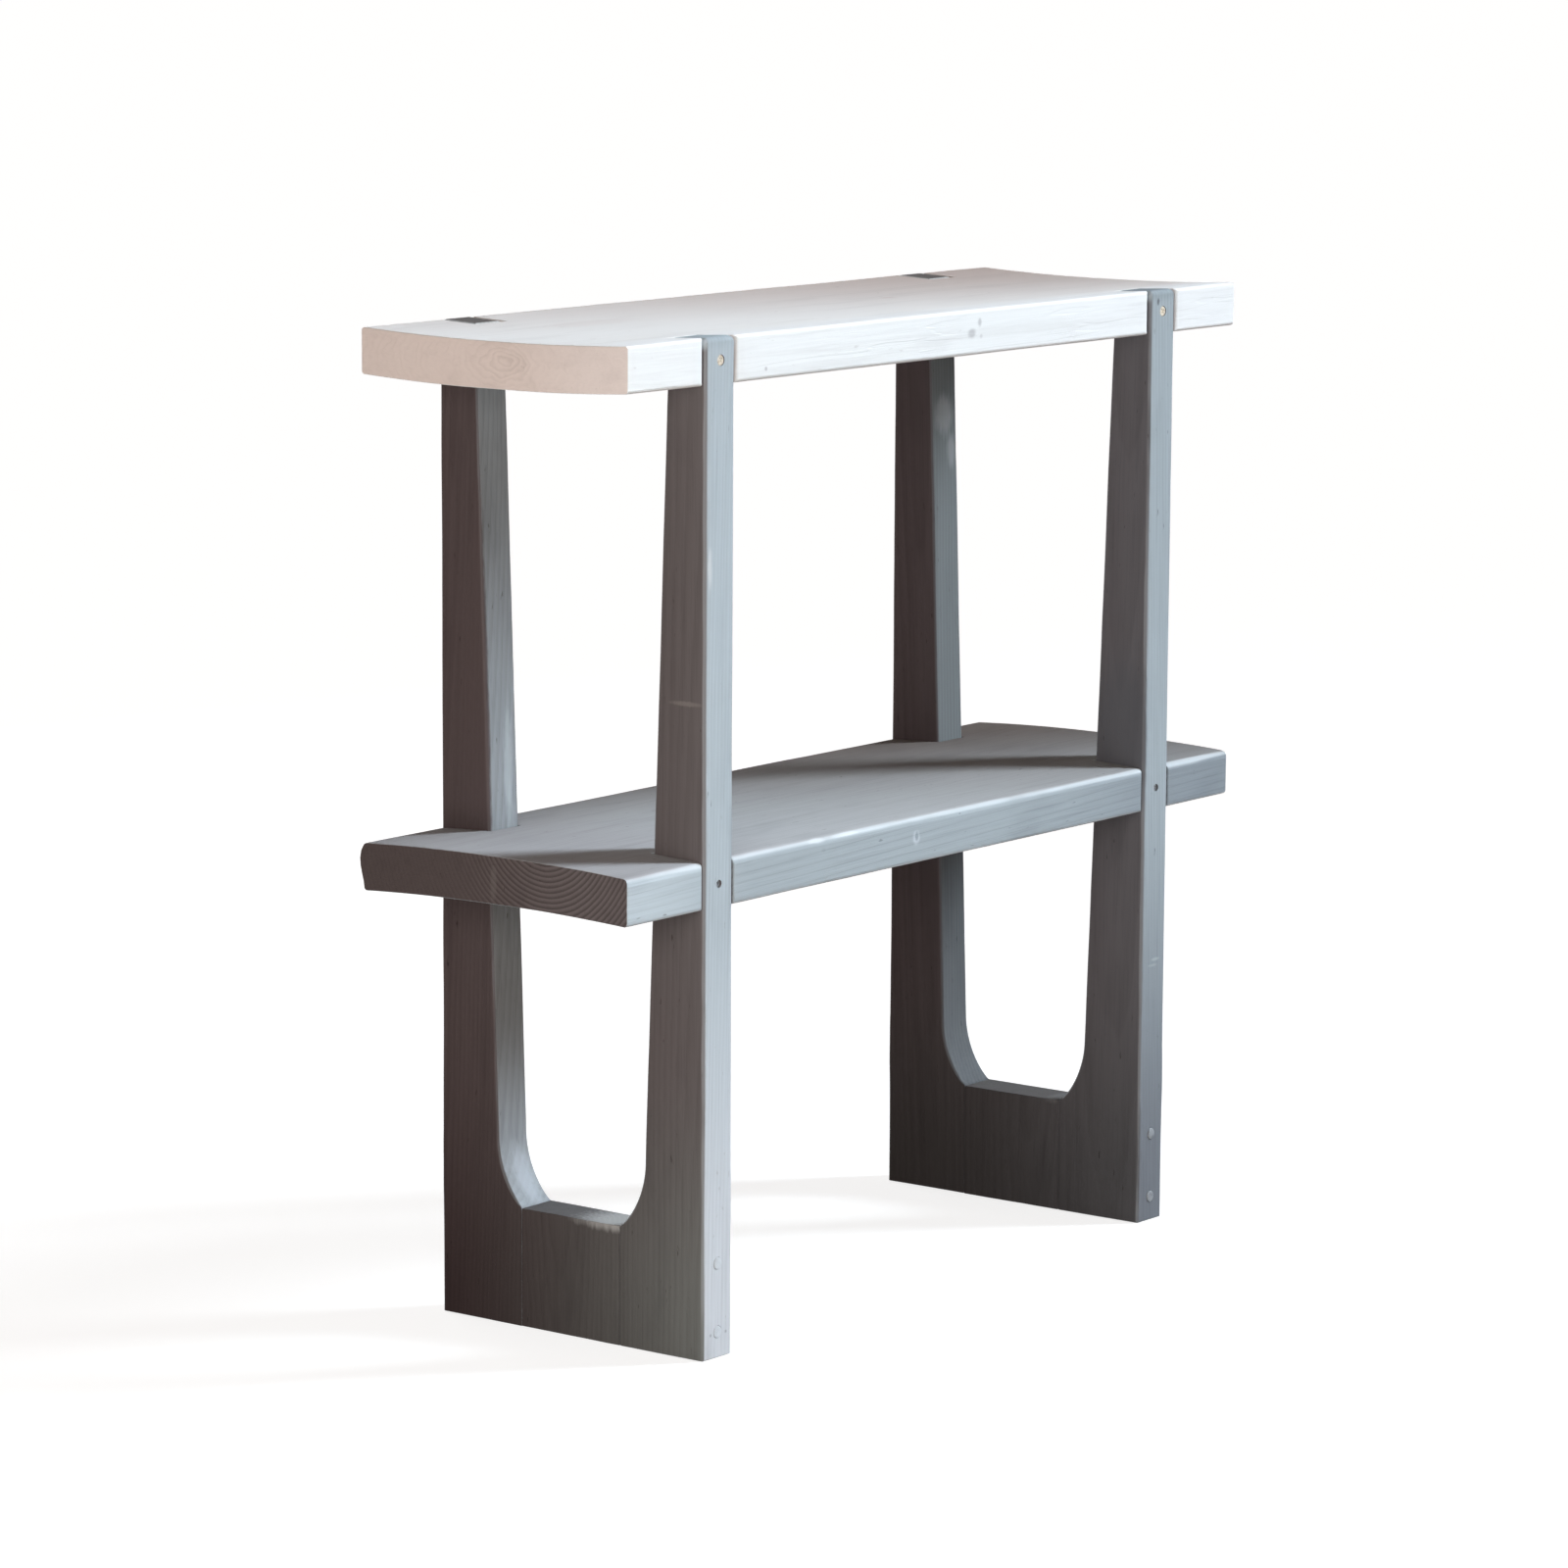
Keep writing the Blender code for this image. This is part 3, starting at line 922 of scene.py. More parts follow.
def surface(tree):
    """A point's place as a vector, its place as three numbers, and the direction that it faces as three."""
    source = tree.nodes.new("ShaderNodeTexCoord")
    split = []
    for name in ("Object", "Normal"):
        parts = new_step("SeparateXYZ", {0: source.outputs[name]})
        split.append(list(parts.outputs))
    return source.outputs["Object"], split[0], split[1]


def tree_space(place, kind, heart):
    """A point's place in its tree: along the grain, then across and up from the leaning line of its pith."""
    length, *sides = (place[axis] for axis in GRAIN_AXES[kind])
    parts = [length]
    for side, start, slope in zip(sides, heart["pith"], heart["lean"]):
        parts.append(maths("SUBTRACT", side, times_plus(length, slope, start)))
    return new_step("CombineXYZ", dict(enumerate(parts))).outputs[0]


def streaks(space, shift, length, width, detail=3.0):
    """Noise drawn out along the grain, with streaks of about this length and width in metres."""
    stretched = mapped(space, (1.0 / length, 1.0 / width, 1.0 / width), shift)
    return cloud(stretched, detail, roughness=0.6)[0]


def wood_grain(space, seed, sway):
    """The patterns that every board shares: rings, fibres, bands, blotches and pores, each from 0 to 1.

    Late wood darkens slowly through a year and stops short at the year's end.
    """
    shift = tuple(seed * part for part in SEED_SHIFT)
    drift = cloud(mapped(space, DRIFT_SCALE, shift), detail=3.0)[0]
    radius = vector_maths("LENGTH", vector_maths("MULTIPLY", space, ACROSS_GRAIN))
    years = times_plus(drift, sway, maths("DIVIDE", radius, RING_SPACING))
    part = maths("FRACT", years)
    return {
        "radius": radius,
        "late": times(between(part, *LATE_WOOD), between(part, *YEAR_END)),
        "fine": streaks(space, shift, length=0.14, width=0.0016, detail=4.0),
        "band": streaks(space, shift, length=0.30, width=0.0110),
        "patch": cloud(mapped(space, PATCH_SCALE, shift), detail=3.0)[0],
        "speck": cloud(mapped(space, PORE_SCALE, shift))[0],
    }


def grained(tone, grain, ring_share, band_share, depth):
    """A tone with its grain: rings, bands, fibres, blotches and pores, as dark as the depth says."""
    dark = tuple(1.0 - depth * part for part in DARK_GRAIN)
    dim = tuple(1.0 - depth * part for part in DIM_GRAIN)
    layers = (
        (times(grain["late"], ring_share), dark),
        (times(between(grain["band"], *BANDS_SHOW), band_share), dark),
        (between(grain["fine"], *FIBRES_SHOW), dim),
        (between(grain["patch"], *BLOTCHES_SHOW), dim),
        (between(grain["speck"], *PORES_SHOW), dark),
    )
    for share, shade in layers:
        tone = mix(share, tone, shade, "MULTIPLY")
    return tone


print("wood patterns ready")

# %% [markdown]
# A finish ends with its wear. Hands rub the arrises, so these change colour, unevenly, and get some sheen,
# while the wash dries chalky everywhere else. The paler colour on the edges is in part a painted highlight.
# Single dents, drips and knots are small soft ellipsoids, each with a centre, half sizes, a share and a
# colour. The fibres and rings stand up as fine ridges.

# %% Wear and gloss
EDGE_SHEEN = 0.16
EDGE_POLISH = -0.20
FIBRE_ROUGHNESS = 0.20
FIBRE_HEIGHT = 0.7
BAND_HEIGHT = 0.5
FIBRE_BREAKS = 0.5
RUBBED_FROM = (0.60, 1.05)
MARK_RIM = (1.5, 0.5)
MARK_RAGGED = 0.8
GRAIN_DEPTH = 0.0006
RIDGE_STRENGTH = 0.35


def arris(facing, pairs):
    """About 1 in the middle of a rounded edge between two directions, and 0 on the flat faces."""
    total = 0.0
    for first, second in pairs:
        both = maths("ABSOLUTE", times(facing[first], facing[second]))
        total = times_plus(both, 2.0, total)
    return total


def worn(tone, tones, where, grain, rim, breaks, rub):
    """A tone that is rubbed along its edges, in part a painted highlight, more here and less there, with
    small ragged marks.
    """
    broken = times_plus(maths("SUBTRACT", grain["patch"], 0.5), breaks, rim)
    broken = times_plus(maths("SUBTRACT", grain["fine"], 0.5), FIBRE_BREAKS, broken)
    tone = mix(times(between(broken, *RUBBED_FROM), rub), tone, tones["rubbed"])
    ragged = times_plus(grain["speck"], MARK_RAGGED, -MARK_RAGGED / 2)
    for centre, size, share, colour in tones["marks"]:
        inverse = tuple(1.0 / part for part in size)
        offset = vector_maths("MULTIPLY", vector_maths("SUBTRACT", where, centre), inverse)
        far = maths("ADD", vector_maths("LENGTH", offset), ragged)
        tone = mix(times(between(far, *MARK_RIM), share), tone, colour)
    return tone


def dressed(shader, tone, grain, rim, roughness, ridges):
    """Feeds a wood shader: colour, a roughness that follows the fibres, sheen on its edges, and ridges."""
    rough = times_plus(rim, EDGE_POLISH, times_plus(grain["fine"], FIBRE_ROUGHNESS, roughness))
    feed(shader, {"Base Color": tone, "Roughness": rough, "Specular IOR Level": times(rim, EDGE_SHEEN)})
    height = times_plus(grain["fine"], FIBRE_HEIGHT, times(grain["late"], ridges))
    height = times_plus(grain["band"], BAND_HEIGHT, height)
    ridged(shader, height, RIDGE_STRENGTH, GRAIN_DEPTH)


print("wear ready")

# %% [markdown]
# ## Grey stained legs and blocks
# The stain is a thin blue-grey wash. It is paler on the planed outer edges, partly as stain and partly as a
# painted reflection of the window. It soaks deeper into the sawn inner edges and stays dark and brown on the
# broad faces, and each plank takes it a little differently. So a leg's finish starts from a few tones, and
# the direction that a face looks in picks between them. The tones also change with height, as painted light
# and shade. The broad faces of one fork share their tones, which darken from front to back as painted shade,
# so the glue lines beside a block stay faint. The sawn tops of the back legs are dark, with a pale rim that
# is a painted highlight where the rounded edge catches the light.

# %% Stained legs
FORK_DEPTH = 2.0 * HALF_DEPTH
BLOCK_HALF_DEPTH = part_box("left_centre_block")[1].y
BROAD_FACE = (0.22, 0.60)
INNER_FACE = (0.0, 0.5)
TOP_FACE = (0.90, 0.99)
BROAD_LIGHT_AND_SHADE_FADE = (0.26, 0.02)
OUTER_LIGHT_AND_SHADE_FADE = (0.42, 0.02)
INNER_SHADE_FADE = (0.42, 0.35)
THROAT_FADE = (0.26, 0.13)
CROWN_HIGHLIGHT_FADE = (LEG_TOP - 0.012, LEG_TOP - 0.005)
FRONT_CURVE = 1.6
OUTER_GRAIN = 0.12
BROAD_GRAIN = 0.04
INNER_GRAIN = 0.10
GLUE_REACH = (0.014, 0.006)
GLUE_BELOW = (BLOCK_TOP + 0.004, BLOCK_TOP - 0.001)
GLUE_WIDTH = (0.0022, 0.0002)
GLUE_LINE = (0.72, 0.70, 0.70)


def stained_leg(name, tones, broad_stain_and_shade_tones, outer, seed):
    """The finish of one leg or block. Outer is the side of y that its planed edge looks to."""
    finish, tree, shader = new_finish(name)
    where, place, facing = surface(tree)
    grain = wood_grain(tree_space(place, "leg", tones), seed, sway=1.6)
    broad = between(maths("ABSOLUTE", facing[0]), *BROAD_FACE)
    inward = between(times(facing[1], -outer), *INNER_FACE)
    upward = between(facing[2], *TOP_FACE)
    # Painted light and shade: the broad faces are paler towards the front, and at the foot darker at the
    # back.
    front_light_share = maths("MAXIMUM", times_plus(place[1], -1.0 / FORK_DEPTH, 0.5), 0.0)
    front_light_share = maths("POWER", front_light_share, FRONT_CURVE)
    high_tone, low_tone = (mix(front_light_share, *pair) for pair in broad_stain_and_shade_tones)
    broad_tone = fade(place[2], BROAD_LIGHT_AND_SHADE_FADE, high_tone, low_tone)
    # Painted light and shade: the outer edge gets paler or darker from top to foot.
    outer_light_and_shade_tone = fade(place[2], OUTER_LIGHT_AND_SHADE_FADE, *tones["outer"])
    # Painted shade: the inner edge darkens below the lower shelf.
    inner_tone = fade(place[2], INNER_SHADE_FADE, *tones["inner"][:2])
    inner_tone = fade(place[2], THROAT_FADE, inner_tone, tones["inner"][2])
    tone = mix(broad, mix(inward, outer_light_and_shade_tone, inner_tone), broad_tone)
    # Painted highlight: a pale crown round the top of each leg, where its rounded edge catches the light.
    crown = between(place[2], *CROWN_HIGHLIGHT_FADE)
    tone = mix(upward, mix(crown, tone, tones["crown"]), tones["end"])
    sawn = times_plus(inward, INNER_GRAIN, times_plus(broad, BROAD_GRAIN, OUTER_GRAIN))
    tone = grained(tone, grain, sawn, sawn, depth=1.0)
    from_seam = maths("SUBTRACT", maths("ABSOLUTE", place[1]), BLOCK_HALF_DEPTH)
    below_throat = between(place[2], *GLUE_BELOW)
    glued = times(between(from_seam, *GLUE_REACH), below_throat)
    rim = times(arris(facing, ((0, 1), (0, 2))), maths("SUBTRACT", 1.0, glued))
    seam = times(between(maths("ABSOLUTE", from_seam), *GLUE_WIDTH), glued)
    tone = mix(times(seam, grain["band"]), tone, GLUE_LINE, "MULTIPLY")
    tone = worn(tone, tones, where, grain, rim, breaks=1.6, rub=0.30)
    dressed(shader, tone, grain, rim, roughness=0.62, ridges=maths("ADD", sawn, 0.2))
    return finish


print("glue lines at", round(BLOCK_HALF_DEPTH, 4), "either side of the middle")

# %% [markdown]
# Each plank has its own tones: the outer edge from top to foot, the inner edge from top to throat, the crown
# and end of its top, the rubbed arris, and its marks. The pale outer edges and the pale tops of the front
# legs are in part a painted reflection of the window, and the changes from top to foot paint light and shade.
# The pale crown of the back legs is a painted highlight, and the pale rub is in part one. Pith and lean say
# where the heart of its tree was.

# %% Leg tones
# The pale rub on the front legs' arrises is in part a painted highlight.
PALE_RUB_AND_HIGHLIGHT = (0.50, 0.55, 0.60)
PAINTED_RIM_HIGHLIGHT = (0.60, 0.585, 0.575)
STAINED_END = (0.165, 0.150, 0.142)
BROAD_BROWN = (0.094, 0.073, 0.074)
DENT = (0.24, 0.25, 0.27)
SCRAPE = (0.46, 0.50, 0.53)
WASH_PATCH = (0.34, 0.355, 0.365)
# Broad-face tones, each pair back then front, the first pair high and the second at the foot: stain with
# painted light and shade.
BROAD_STAIN_AND_SHADE_TONES = {
    "left": ((BROAD_BROWN, (0.143, 0.130, 0.133)), ((0.053, 0.038, 0.039), (0.183, 0.195, 0.191))),
    "right": (((0.098, 0.078, 0.081), (0.147, 0.145, 0.158)), ((0.063, 0.057, 0.057), (0.103, 0.104, 0.112))),
}


def block_tones(tone, end, rubbed_tone, mark):
    """A block has one tone on its glued sides, which are hidden, and a darker one on its sawn top."""
    return {
        "outer": (tone, tone),
        "inner": (tone, tone, tone),
        "crown": tone,
        "end": end,
        "rubbed": rubbed_tone,
        "marks": (mark,),
    }


LEFT_BLOCK_MARK = ((-0.313, -0.044, 0.100), (0.030, 0.036, 0.006), 0.9, (0.40, 0.405, 0.405))
RIGHT_BLOCK_MARK = ((0.313, -0.044, 0.100), (0.020, 0.010, 0.004), 0.4, (0.24, 0.24, 0.24))
LEG_TONES = {
    "left_front_leg": {
        "pith": (-0.150, -0.285),
        "lean": (0.010, 0.022),
        "outer": ((0.440, 0.500, 0.540), (0.585, 0.615, 0.655)),
        "inner": ((0.23, 0.25, 0.265), (0.23, 0.25, 0.265), (0.28, 0.30, 0.315)),
        "crown": (0.42, 0.48, 0.52),
        "end": (0.42, 0.48, 0.52),
        "rubbed": PALE_RUB_AND_HIGHLIGHT,
        "marks": (
            ((-0.326, -0.138, 0.645), (0.0025, 0.004, 0.016), 0.5, (0.66, 0.68, 0.69)),
            ((-0.332, -0.119, 0.536), (0.004, 0.014, 0.0018), 0.5, (0.25, 0.23, 0.22)),
            ((-0.322, -0.138, 0.020), (0.0013, 0.004, 0.0013), 0.6, DENT),
            ((-0.302, -0.138, 0.020), (0.0013, 0.004, 0.0013), 0.6, DENT),
        ),
    },
    "left_back_leg": {
        "pith": (0.145, -0.350),
        "lean": (-0.030, 0.012),
        "outer": ((0.39, 0.44, 0.475), (0.41, 0.45, 0.48)),
        "inner": ((0.295, 0.318, 0.337), (0.240, 0.246, 0.250), (0.39, 0.43, 0.47)),
        "crown": PAINTED_RIM_HIGHLIGHT,
        "end": STAINED_END,
        "rubbed": (0.19, 0.21, 0.23),
        "marks": (
            ((-0.331, 0.092, 0.520), (0.0032, 0.024, 0.150), 0.9, BROAD_BROWN),
            ((-0.306, 0.098, 0.460), (0.006, 0.02, 0.050), 0.45, (0.52, 0.57, 0.61)),
            ((-0.309, 0.062, 0.125), (0.011, 0.022, 0.024), 0.7, (0.52, 0.58, 0.64)),
        ),
    },
    "right_front_leg": {
        "pith": (-0.105, 0.395),
        "lean": (-0.016, -0.024),
        "outer": ((0.392, 0.445, 0.480), (0.190, 0.205, 0.230)),
        "inner": ((0.215, 0.24, 0.255), (0.19, 0.21, 0.225), (0.19, 0.21, 0.225)),
        "crown": (0.35, 0.40, 0.43),
        "end": (0.30, 0.34, 0.37),
        "rubbed": PALE_RUB_AND_HIGHLIGHT,
        "marks": (
            # Painted shade: a darker patch on the broad face just above the lower shelf.
            ((0.294, -0.118, 0.440), (0.004, 0.040, 0.060), 0.6, (0.105, 0.112, 0.128)),
            ((0.3055, -0.138, 0.8186), (0.0016, 0.004, 0.0030), 0.7, (0.07, 0.075, 0.085)),
            ((0.316, -0.138, 0.236), (0.006, 0.004, 0.0014), 0.5, SCRAPE),
            ((0.312, -0.138, 0.231), (0.006, 0.004, 0.0012), 0.35, SCRAPE),
        ),
    },
    "right_back_leg": {
        "pith": (0.085, 0.250),
        "lean": (0.034, 0.010),
        "outer": ((0.38, 0.43, 0.465), (0.34, 0.38, 0.41)),
        "inner": ((0.195, 0.214, 0.223), (0.145, 0.155, 0.164), (0.150, 0.161, 0.172)),
        "crown": PAINTED_RIM_HIGHLIGHT,
        "end": STAINED_END,
        "rubbed": (0.16, 0.185, 0.205),
        "marks": (
            ((0.312, 0.102, 0.705), (0.012, 0.02, 0.016), 0.7, WASH_PATCH),
            ((0.323, 0.101, 0.672), (0.006, 0.02, 0.014), 0.6, WASH_PATCH),
        ),
    },
    "left_centre_block": {
        "pith": (0.010, -0.365),
        "lean": (0.02, 0.05),
        **block_tones((0.25, 0.27, 0.29), (0.148, 0.144, 0.146), (0.26, 0.26, 0.26), LEFT_BLOCK_MARK),
    },
    "right_centre_block": {
        "pith": (-0.015, 0.235),
        "lean": (-0.03, 0.04),
        **block_tones((0.22, 0.24, 0.26), (0.148, 0.140, 0.138), (0.20, 0.20, 0.20), RIGHT_BLOCK_MARK),
    },
}
FIRST_SEED = 3.1

finishes = {}
for number, (node_name, leg_tones) in enumerate(LEG_TONES.items()):
    leg_outer = 1.0 if "back" in node_name else -1.0
    fork_stain_and_shade_tones = BROAD_STAIN_AND_SHADE_TONES["left" if "left" in node_name else "right"]
    stain = stained_leg("stain_" + node_name, leg_tones, fork_stain_and_shade_tones, leg_outer, FIRST_SEED + number)
    finishes[node_name] = (stain, "grey_stained_pine")
print("stained legs and blocks:", len(finishes))

# %% [markdown]
# ## Grey stained shelf
# The lower shelf is one wide plank that was cut just below the heart of its tree, so its sawn end shows
# rings like a row of smiles. They are clear towards the front and drown in stain towards the back. Its upper
# front arris is paler, partly rubbed by hands and pots and partly a painted highlight. Its front edge is
# pale, in part a painted reflection of the window. It is paler still at the far left and darker at the far
# right, as painted light and shade, and its top is dark and brown at the back right, as painted shade.

# %% Stained shelf
END_FACE = (0.55, 0.93)
UPPER_FACE = (0.35, 0.90)
LIT_FAR_LEFT_FADE = (-0.42, -0.26)
SHADED_FAR_RIGHT_FADE = (0.05, 0.42)
TOP_LEFT_FADE = (-0.16, -0.34)
BACK_FADE = (-0.22, 0.30)
BACK_SLANT = 0.45
END_FADE = (-0.10, 0.06)
CLEAR_RINGS = (0.055, -0.02)
CLEAR_SHARE = 0.62
FAINT_SHARE = 0.06
EARLY_WOOD = (1.25, 1.24, 1.23)
EARLY_SHARE = 0.7
SHELF_TONES = {
    "pith": (-0.047, 0.454),
    "lean": (0.012, 0.02),
    # Painted light at the far left and painted shade at the far right of the front edge.
    "lit_far_left": (0.49, 0.555, 0.595),
    "front": (0.380, 0.432, 0.465),
    "shaded_far_right": (0.275, 0.312, 0.345),
    "top": (0.465, 0.480, 0.495),
    "top_left": (0.412, 0.410, 0.425),
    # Painted shade: the dark brown back right of the top.
    "back": (0.150, 0.127, 0.115),
    "end": ((0.126, 0.110, 0.113), (0.093, 0.076, 0.076)),
    "rubbed": (0.68, 0.74, 0.78),
    "marks": (
        ((-0.429, 0.0, 0.392), (0.01, 0.0030, 0.014), 0.35, (0.17, 0.155, 0.15)),
        ((-0.0436, -0.137, 0.3919), (0.0042, 0.004, 0.0052), 0.7, (0.60, 0.66, 0.70)),
        ((-0.0430, -0.137, 0.3932), (0.0022, 0.004, 0.0036), 0.8, (0.26, 0.31, 0.34)),
        ((-0.180, -0.135, 0.4070), (0.010, 0.006, 0.0018), 0.5, (0.75, 0.79, 0.82)),
        ((-0.140, -0.135, 0.4075), (0.016, 0.006, 0.0014), 0.5, (0.75, 0.79, 0.82)),
        ((-0.172, -0.137, 0.3985), (0.003, 0.004, 0.0014), 0.4, (0.27, 0.31, 0.34)),
        ((0.076, -0.003, 0.410), (0.014, 0.0018, 0.006), 0.35, (0.24, 0.25, 0.26)),
        ((0.095, -0.010, 0.410), (0.009, 0.0014, 0.006), 0.35, (0.24, 0.25, 0.26)),
    ),
}


def stained_shelf(name, tones, seed):
    """The finish of the lower shelf."""
    finish, tree, shader = new_finish(name)
    where, place, facing = surface(tree)
    grain = wood_grain(tree_space(place, "shelf", tones), seed, sway=0.9)
    end = between(maths("ABSOLUTE", facing[0]), *END_FACE)
    upward = between(facing[2], *UPPER_FACE)
    # Painted light and shade: the front edge is paler at the far left and darker at the far right.
    front_light_and_shade_tone = fade(place[0], LIT_FAR_LEFT_FADE, tones["lit_far_left"], tones["front"])
    front_light_and_shade_tone = fade(place[0], SHADED_FAR_RIGHT_FADE, front_light_and_shade_tone, tones["shaded_far_right"])
    # Painted shade: the top gets darker towards the back right.
    behind = times_plus(place[0], BACK_SLANT, place[1])
    top_light_and_shade_tone = fade(place[0], TOP_LEFT_FADE, tones["top"], tones["top_left"])
    top_light_and_shade_tone = fade(behind, BACK_FADE, top_light_and_shade_tone, tones["back"])
    tone = mix(upward, front_light_and_shade_tone, top_light_and_shade_tone)
    tone = mix(end, tone, fade(place[1], END_FADE, *tones["end"]))
    clear_end = times(end, between(place[1], *CLEAR_RINGS))
    early = times(maths("SUBTRACT", 1.0, grain["late"]), clear_end)
    tone = mix(times(early, EARLY_SHARE), tone, EARLY_WOOD, "MULTIPLY")
    ring_share = times_plus(clear_end, CLEAR_SHARE, FAINT_SHARE)
    tone = grained(tone, grain, ring_share, band_share=0.11, depth=1.0)
    rim = arris(facing, ((1, 2),))
    tone = worn(tone, tones, where, grain, rim, breaks=0.9, rub=0.60)
    dressed(shader, tone, grain, rim, roughness=0.66, ridges=0.4)
    return finish


SHELF_SEED = 11.3
finishes["lower_shelf"] = (stained_shelf("stain_lower_shelf", SHELF_TONES, SHELF_SEED), "grey_stained_pine")
print("stained shelf:", finishes["lower_shelf"][0].name)

# %% [markdown]
# ## White wash
# The top shelf has a chalky white wash, brushed along the plank. It is thick on the long edge and the top,
# and thin on the sawn end, where the pink of the pine comes through with the arcs of a heart near the middle.
# A few small knots show through on the front edge. The top is painted paler along its front edge and darker
# and warmer towards the back right, and the front edge paler towards its right end: painted light and shade.

# %% White washed shelf
OVAL_HEART = (1.0, 0.55, 1.0)
HEART_WOBBLE = (0.0, 0.012, 0.012)
WOBBLE_SCALE = (6.0, 90.0, 90.0)
HEART_REACH = (0.026, 0.008)
HEART_SHARE = 0.50
VEILED_SHARE = 0.04
WHITE_SHADE_FADE = (-0.16, 0.28)
WHITE_SHADE_SLANT = 0.30
LIT_STRIP_FADE = (-0.080, -0.122)
LIT_STRIP_SHARE = 0.8
WHITE_FRONT_LIGHT_FADE = (-0.10, 0.42)
WHITE_END_FADE = (-0.12, 0.0)
KNOT = (0.38, 0.38, 0.40)
WHITE_TONES = {
    "pith": (-0.006, 0.814),
    "lean": (0.01, 0.012),
    # Painted light: the front's second tone, at its right end. Painted shade: the top's, at the back right.
    "front": ((0.84, 0.865, 0.875), (0.90, 0.915, 0.925)),
    "top": ((0.925, 0.905, 0.885), (0.55, 0.45, 0.41)),
    # Painted light: the strip along the front of the top.
    "strip": (0.94, 0.94, 0.945),
    "end": ((0.785, 0.715, 0.695), (0.75, 0.66, 0.625)),
    "rubbed": (0.74, 0.67, 0.62),
    "marks": (
        ((0.029, -0.137, 0.809), (0.0050, 0.012, 0.0036), 0.55, KNOT),
        ((0.040, -0.137, 0.818), (0.0024, 0.012, 0.0034), 0.50, KNOT),
        ((0.042, -0.137, 0.806), (0.0020, 0.012, 0.0016), 0.30, KNOT),
        ((-0.253, -0.137, 0.799), (0.0016, 0.012, 0.0016), 0.55, KNOT),
        ((0.122, 0.019, 0.826), (0.010, 0.004, 0.008), 0.4, (0.60, 0.48, 0.45)),
        ((-0.252, 0.047, 0.826), (0.050, 0.014, 0.008), 0.3, (0.76, 0.68, 0.65)),
    ),
}


def white_wash(name, tones, seed):
    """The finish of the top shelf."""
    finish, tree, shader = new_finish(name)
    where, place, facing = surface(tree)
    space = vector_maths("MULTIPLY", tree_space(place, "shelf", tones), OVAL_HEART)
    wobble = cloud(mapped(space, WOBBLE_SCALE))[1]
    wobble = vector_maths("SUBTRACT", wobble, (0.5, 0.5, 0.5))
    wobble = vector_maths("MULTIPLY", wobble, HEART_WOBBLE)
    grain = wood_grain(vector_maths("ADD", space, wobble), seed, sway=2.2)
    end = between(maths("ABSOLUTE", facing[0]), *END_FACE)
    upward = between(facing[2], *UPPER_FACE)
    # Painted shade towards the back right of the top, and painted light along its front strip.
    behind = times_plus(place[0], WHITE_SHADE_SLANT, place[1])
    top_light_and_shade_tone = fade(behind, WHITE_SHADE_FADE, *tones["top"])
    strip = times(between(place[1], *LIT_STRIP_FADE), LIT_STRIP_SHARE)
    top_light_and_shade_tone = mix(strip, top_light_and_shade_tone, tones["strip"])
    # Painted light: the front edge gets paler towards its right end.
    front_light_and_shade_tone = fade(place[0], WHITE_FRONT_LIGHT_FADE, *tones["front"])
    tone = mix(upward, front_light_and_shade_tone, top_light_and_shade_tone)
    tone = mix(end, tone, fade(place[1], WHITE_END_FADE, *tones["end"]))
    heart = times(end, between(grain["radius"], *HEART_REACH))
    ring_share = times_plus(heart, HEART_SHARE, VEILED_SHARE)
    tone = grained(tone, grain, ring_share, band_share=0.35, depth=0.35)
    rim = arris(facing, ((0, 1), (0, 2), (1, 2)))
    tone = worn(tone, tones, where, grain, rim, breaks=1.4, rub=0.20)
    dressed(shader, tone, grain, rim, roughness=0.66, ridges=0.5)
    return finish


WHITE_SEED = 7.7
finishes["top_shelf"] = (white_wash("white_wash", WHITE_TONES, WHITE_SEED), "white_washed_pine")
print("white wash:", finishes["top_shelf"][0].name)

# %% [markdown]
# ## Dowels and screws
# A dowel's end is end grain, so it shows close, nearly straight rings and drinks the stain. The upper screws
# are yellow zinc, a thin gold film that dulls unevenly. The lower ones are plain steel, dark and dusty.

# %% Dowels and screws
RINGS_ACROSS = 380.0
RINGS_UP = 610.0
DOWEL_LATE = (0.2, 0.9)
DOWEL_RING_SHARE = 0.6
DOWEL_SOAKED = (0.45, 0.7)
DOWEL_PATCH_SCALE = (160.0, 160.0, 160.0)
DOWEL_FIBRE_SCALE = (900.0, 90.0, 900.0)
SPOT_SCALE = (420.0, 420.0, 420.0)
SCRATCH_SCALE = (2600.0, 300.0, 2600.0)
SPOTS_SHOW = (0.42, 0.66)
SCRATCH_DEPTH = GRAIN_DEPTH / 6
SCRATCH_STRENGTH = 0.3
SPOT_ROUGHNESS = 0.25


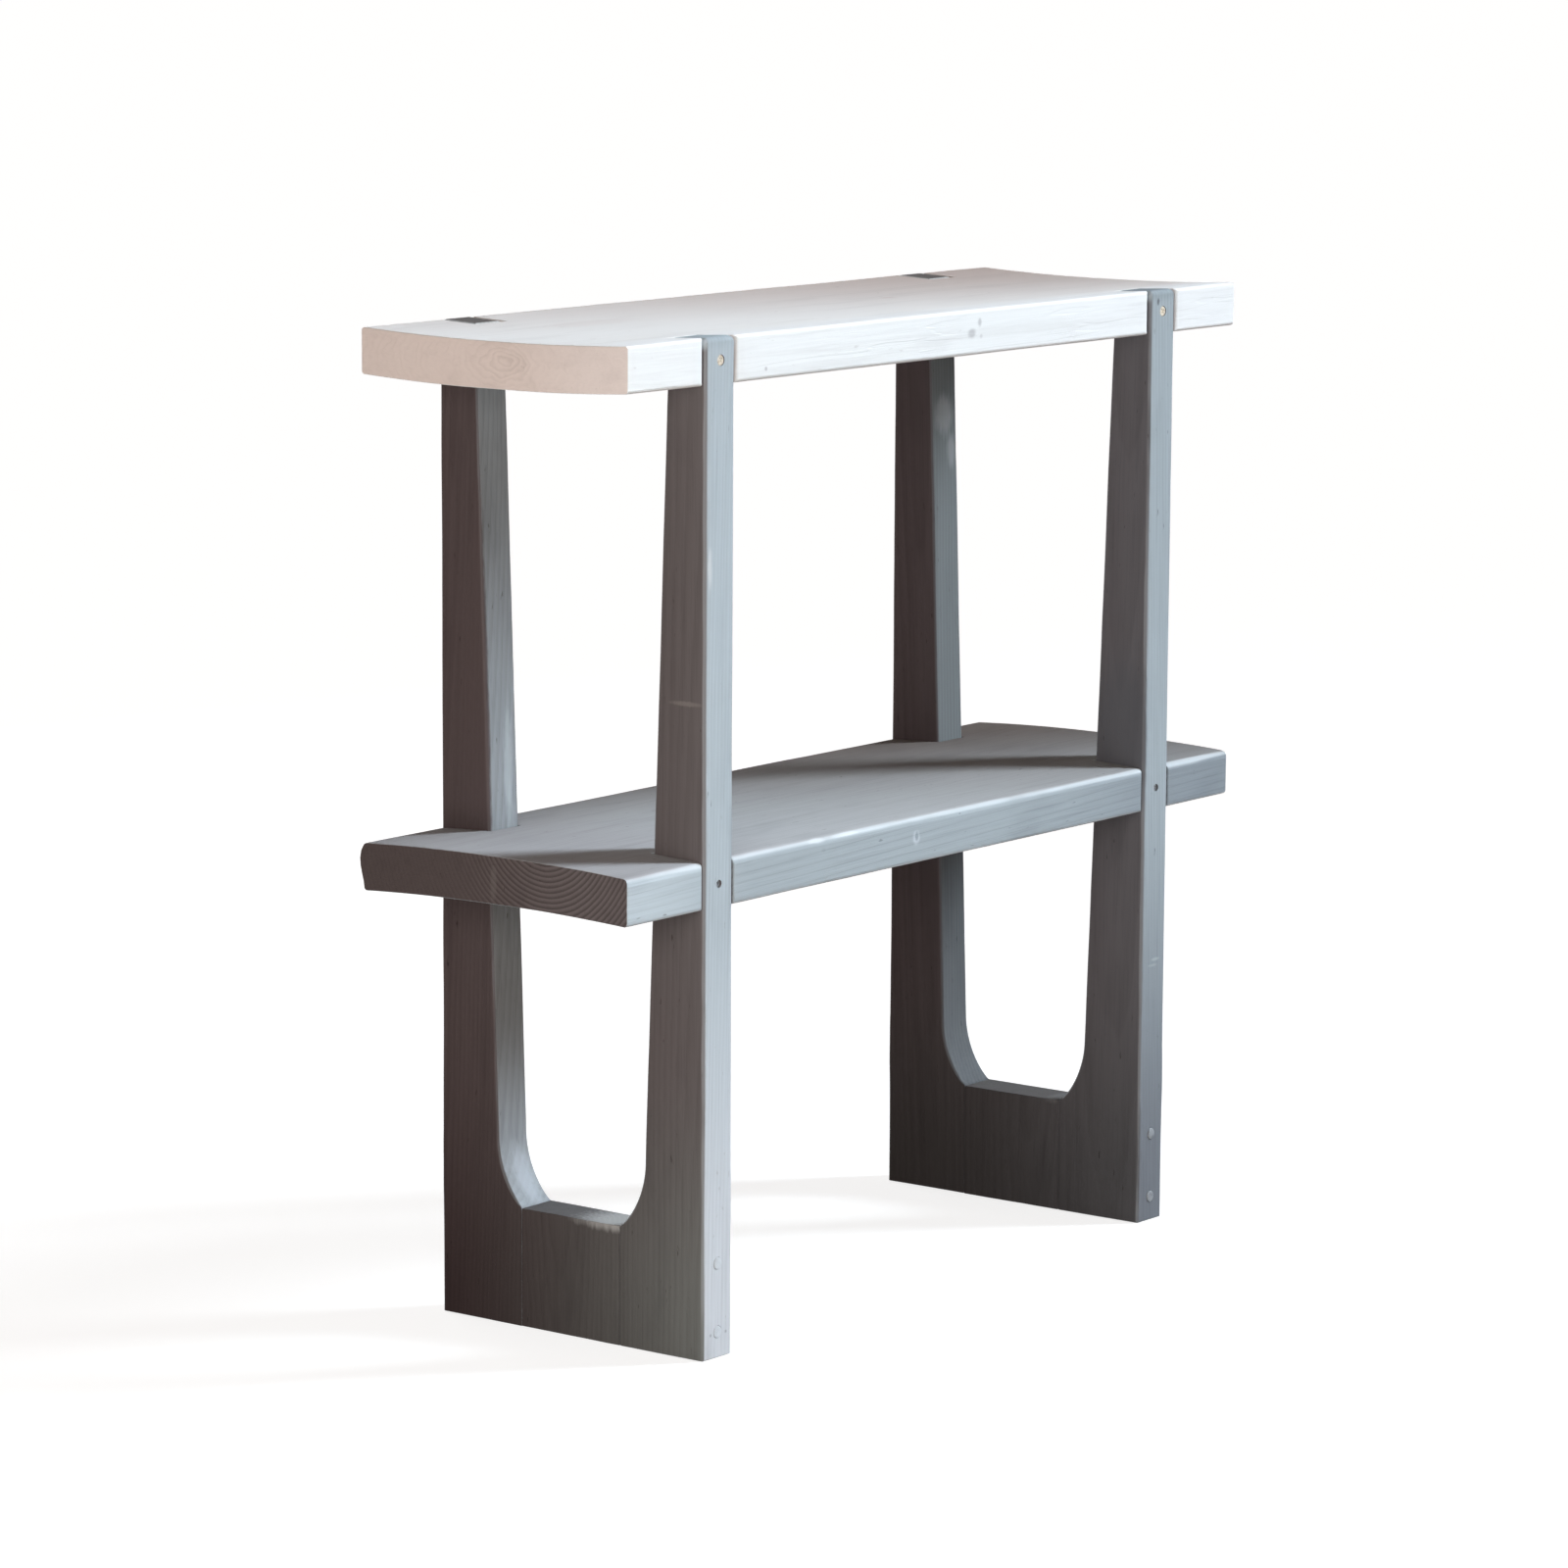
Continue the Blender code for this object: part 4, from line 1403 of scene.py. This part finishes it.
def dowel_end(name, tone, dark, seed):
    """The finish of a dowel's end."""
    finish, tree, shader = new_finish(name)
    where, place, _ = surface(tree)
    slant = times_plus(place[0], RINGS_ACROSS, times(place[2], RINGS_UP))
    late = between(maths("FRACT", slant), *DOWEL_LATE)
    patch = cloud(mapped(where, DOWEL_PATCH_SCALE, (seed, 0.0, 0.0)), detail=3.0)[0]
    fine = cloud(mapped(where, DOWEL_FIBRE_SCALE, (seed, 0.0, 0.0)))[0]
    colour = mix(times(late, DOWEL_RING_SHARE), tone, dark)
    colour = fade(patch, DOWEL_SOAKED, colour, dark)
    grain = {"fine": fine, "late": late, "band": patch}
    dressed(shader, colour, grain, patch, roughness=0.60, ridges=0.4)
    return finish


def screw_metal(name, bright, dull, roughness):
    """The finish of a screw: a metal film with dull spots and fine scratches."""
    finish, tree, shader = new_finish(name)
    where = surface(tree)[0]
    patch = cloud(mapped(where, SPOT_SCALE), detail=4.0)[0]
    scratch = cloud(mapped(where, SCRATCH_SCALE))[0]
    spots = between(patch, *SPOTS_SHOW)
    rough = times_plus(spots, SPOT_ROUGHNESS, roughness)
    feed(shader, {"Metallic": 1.0, "Base Color": mix(spots, bright, dull), "Roughness": rough})
    ridged(shader, maths("ADD", scratch, patch), SCRATCH_STRENGTH, SCRATCH_DEPTH)
    return finish


# Painted light and shade: the left dowels are paler and the right ones darker, like the feet around them.
dowel_stains_lit_and_shaded = {
    "left": dowel_end("stain_dowel_left_lit", (0.60, 0.64, 0.68), (0.52, 0.56, 0.60), seed=1.0),
    "right": dowel_end("stain_dowel_right_shaded", (0.36, 0.385, 0.41), (0.16, 0.17, 0.19), seed=2.0),
}
zinc = screw_metal("yellow_zinc", (0.64, 0.59, 0.50), (0.46, 0.39, 0.31), roughness=0.42)
dark_steel = screw_metal("dark_steel", (0.35, 0.365, 0.38), (0.21, 0.22, 0.23), roughness=0.50)
for corner in CORNERS:
    finishes[f"top_screw_{corner}"] = (zinc, "yellow_zinc_steel")
    finishes[f"lower_screw_{corner}"] = (dark_steel, "dark_steel")
    for level in DOWEL_LEVELS:
        dowel_stain = dowel_stains_lit_and_shaded["left" if "left" in corner else "right"]
        finishes[f"foot_dowel_{corner}_{level}"] = (dowel_stain, "stained_dowel")
print("finished pieces:", len(finishes))

# %% [markdown]
# ## Every piece in its place
# Each piece takes its finish, rides the stand's one body and stands for its own solid.

# %% Seat the pieces
for node_name, piece in pieces.items():
    finish, slot_name = finishes[node_name]
    piece.data.materials.clear()
    piece.data.materials.append(finish)
    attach(piece, "root")
    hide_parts(node_name)
print("pieces seated:", len(pieces))
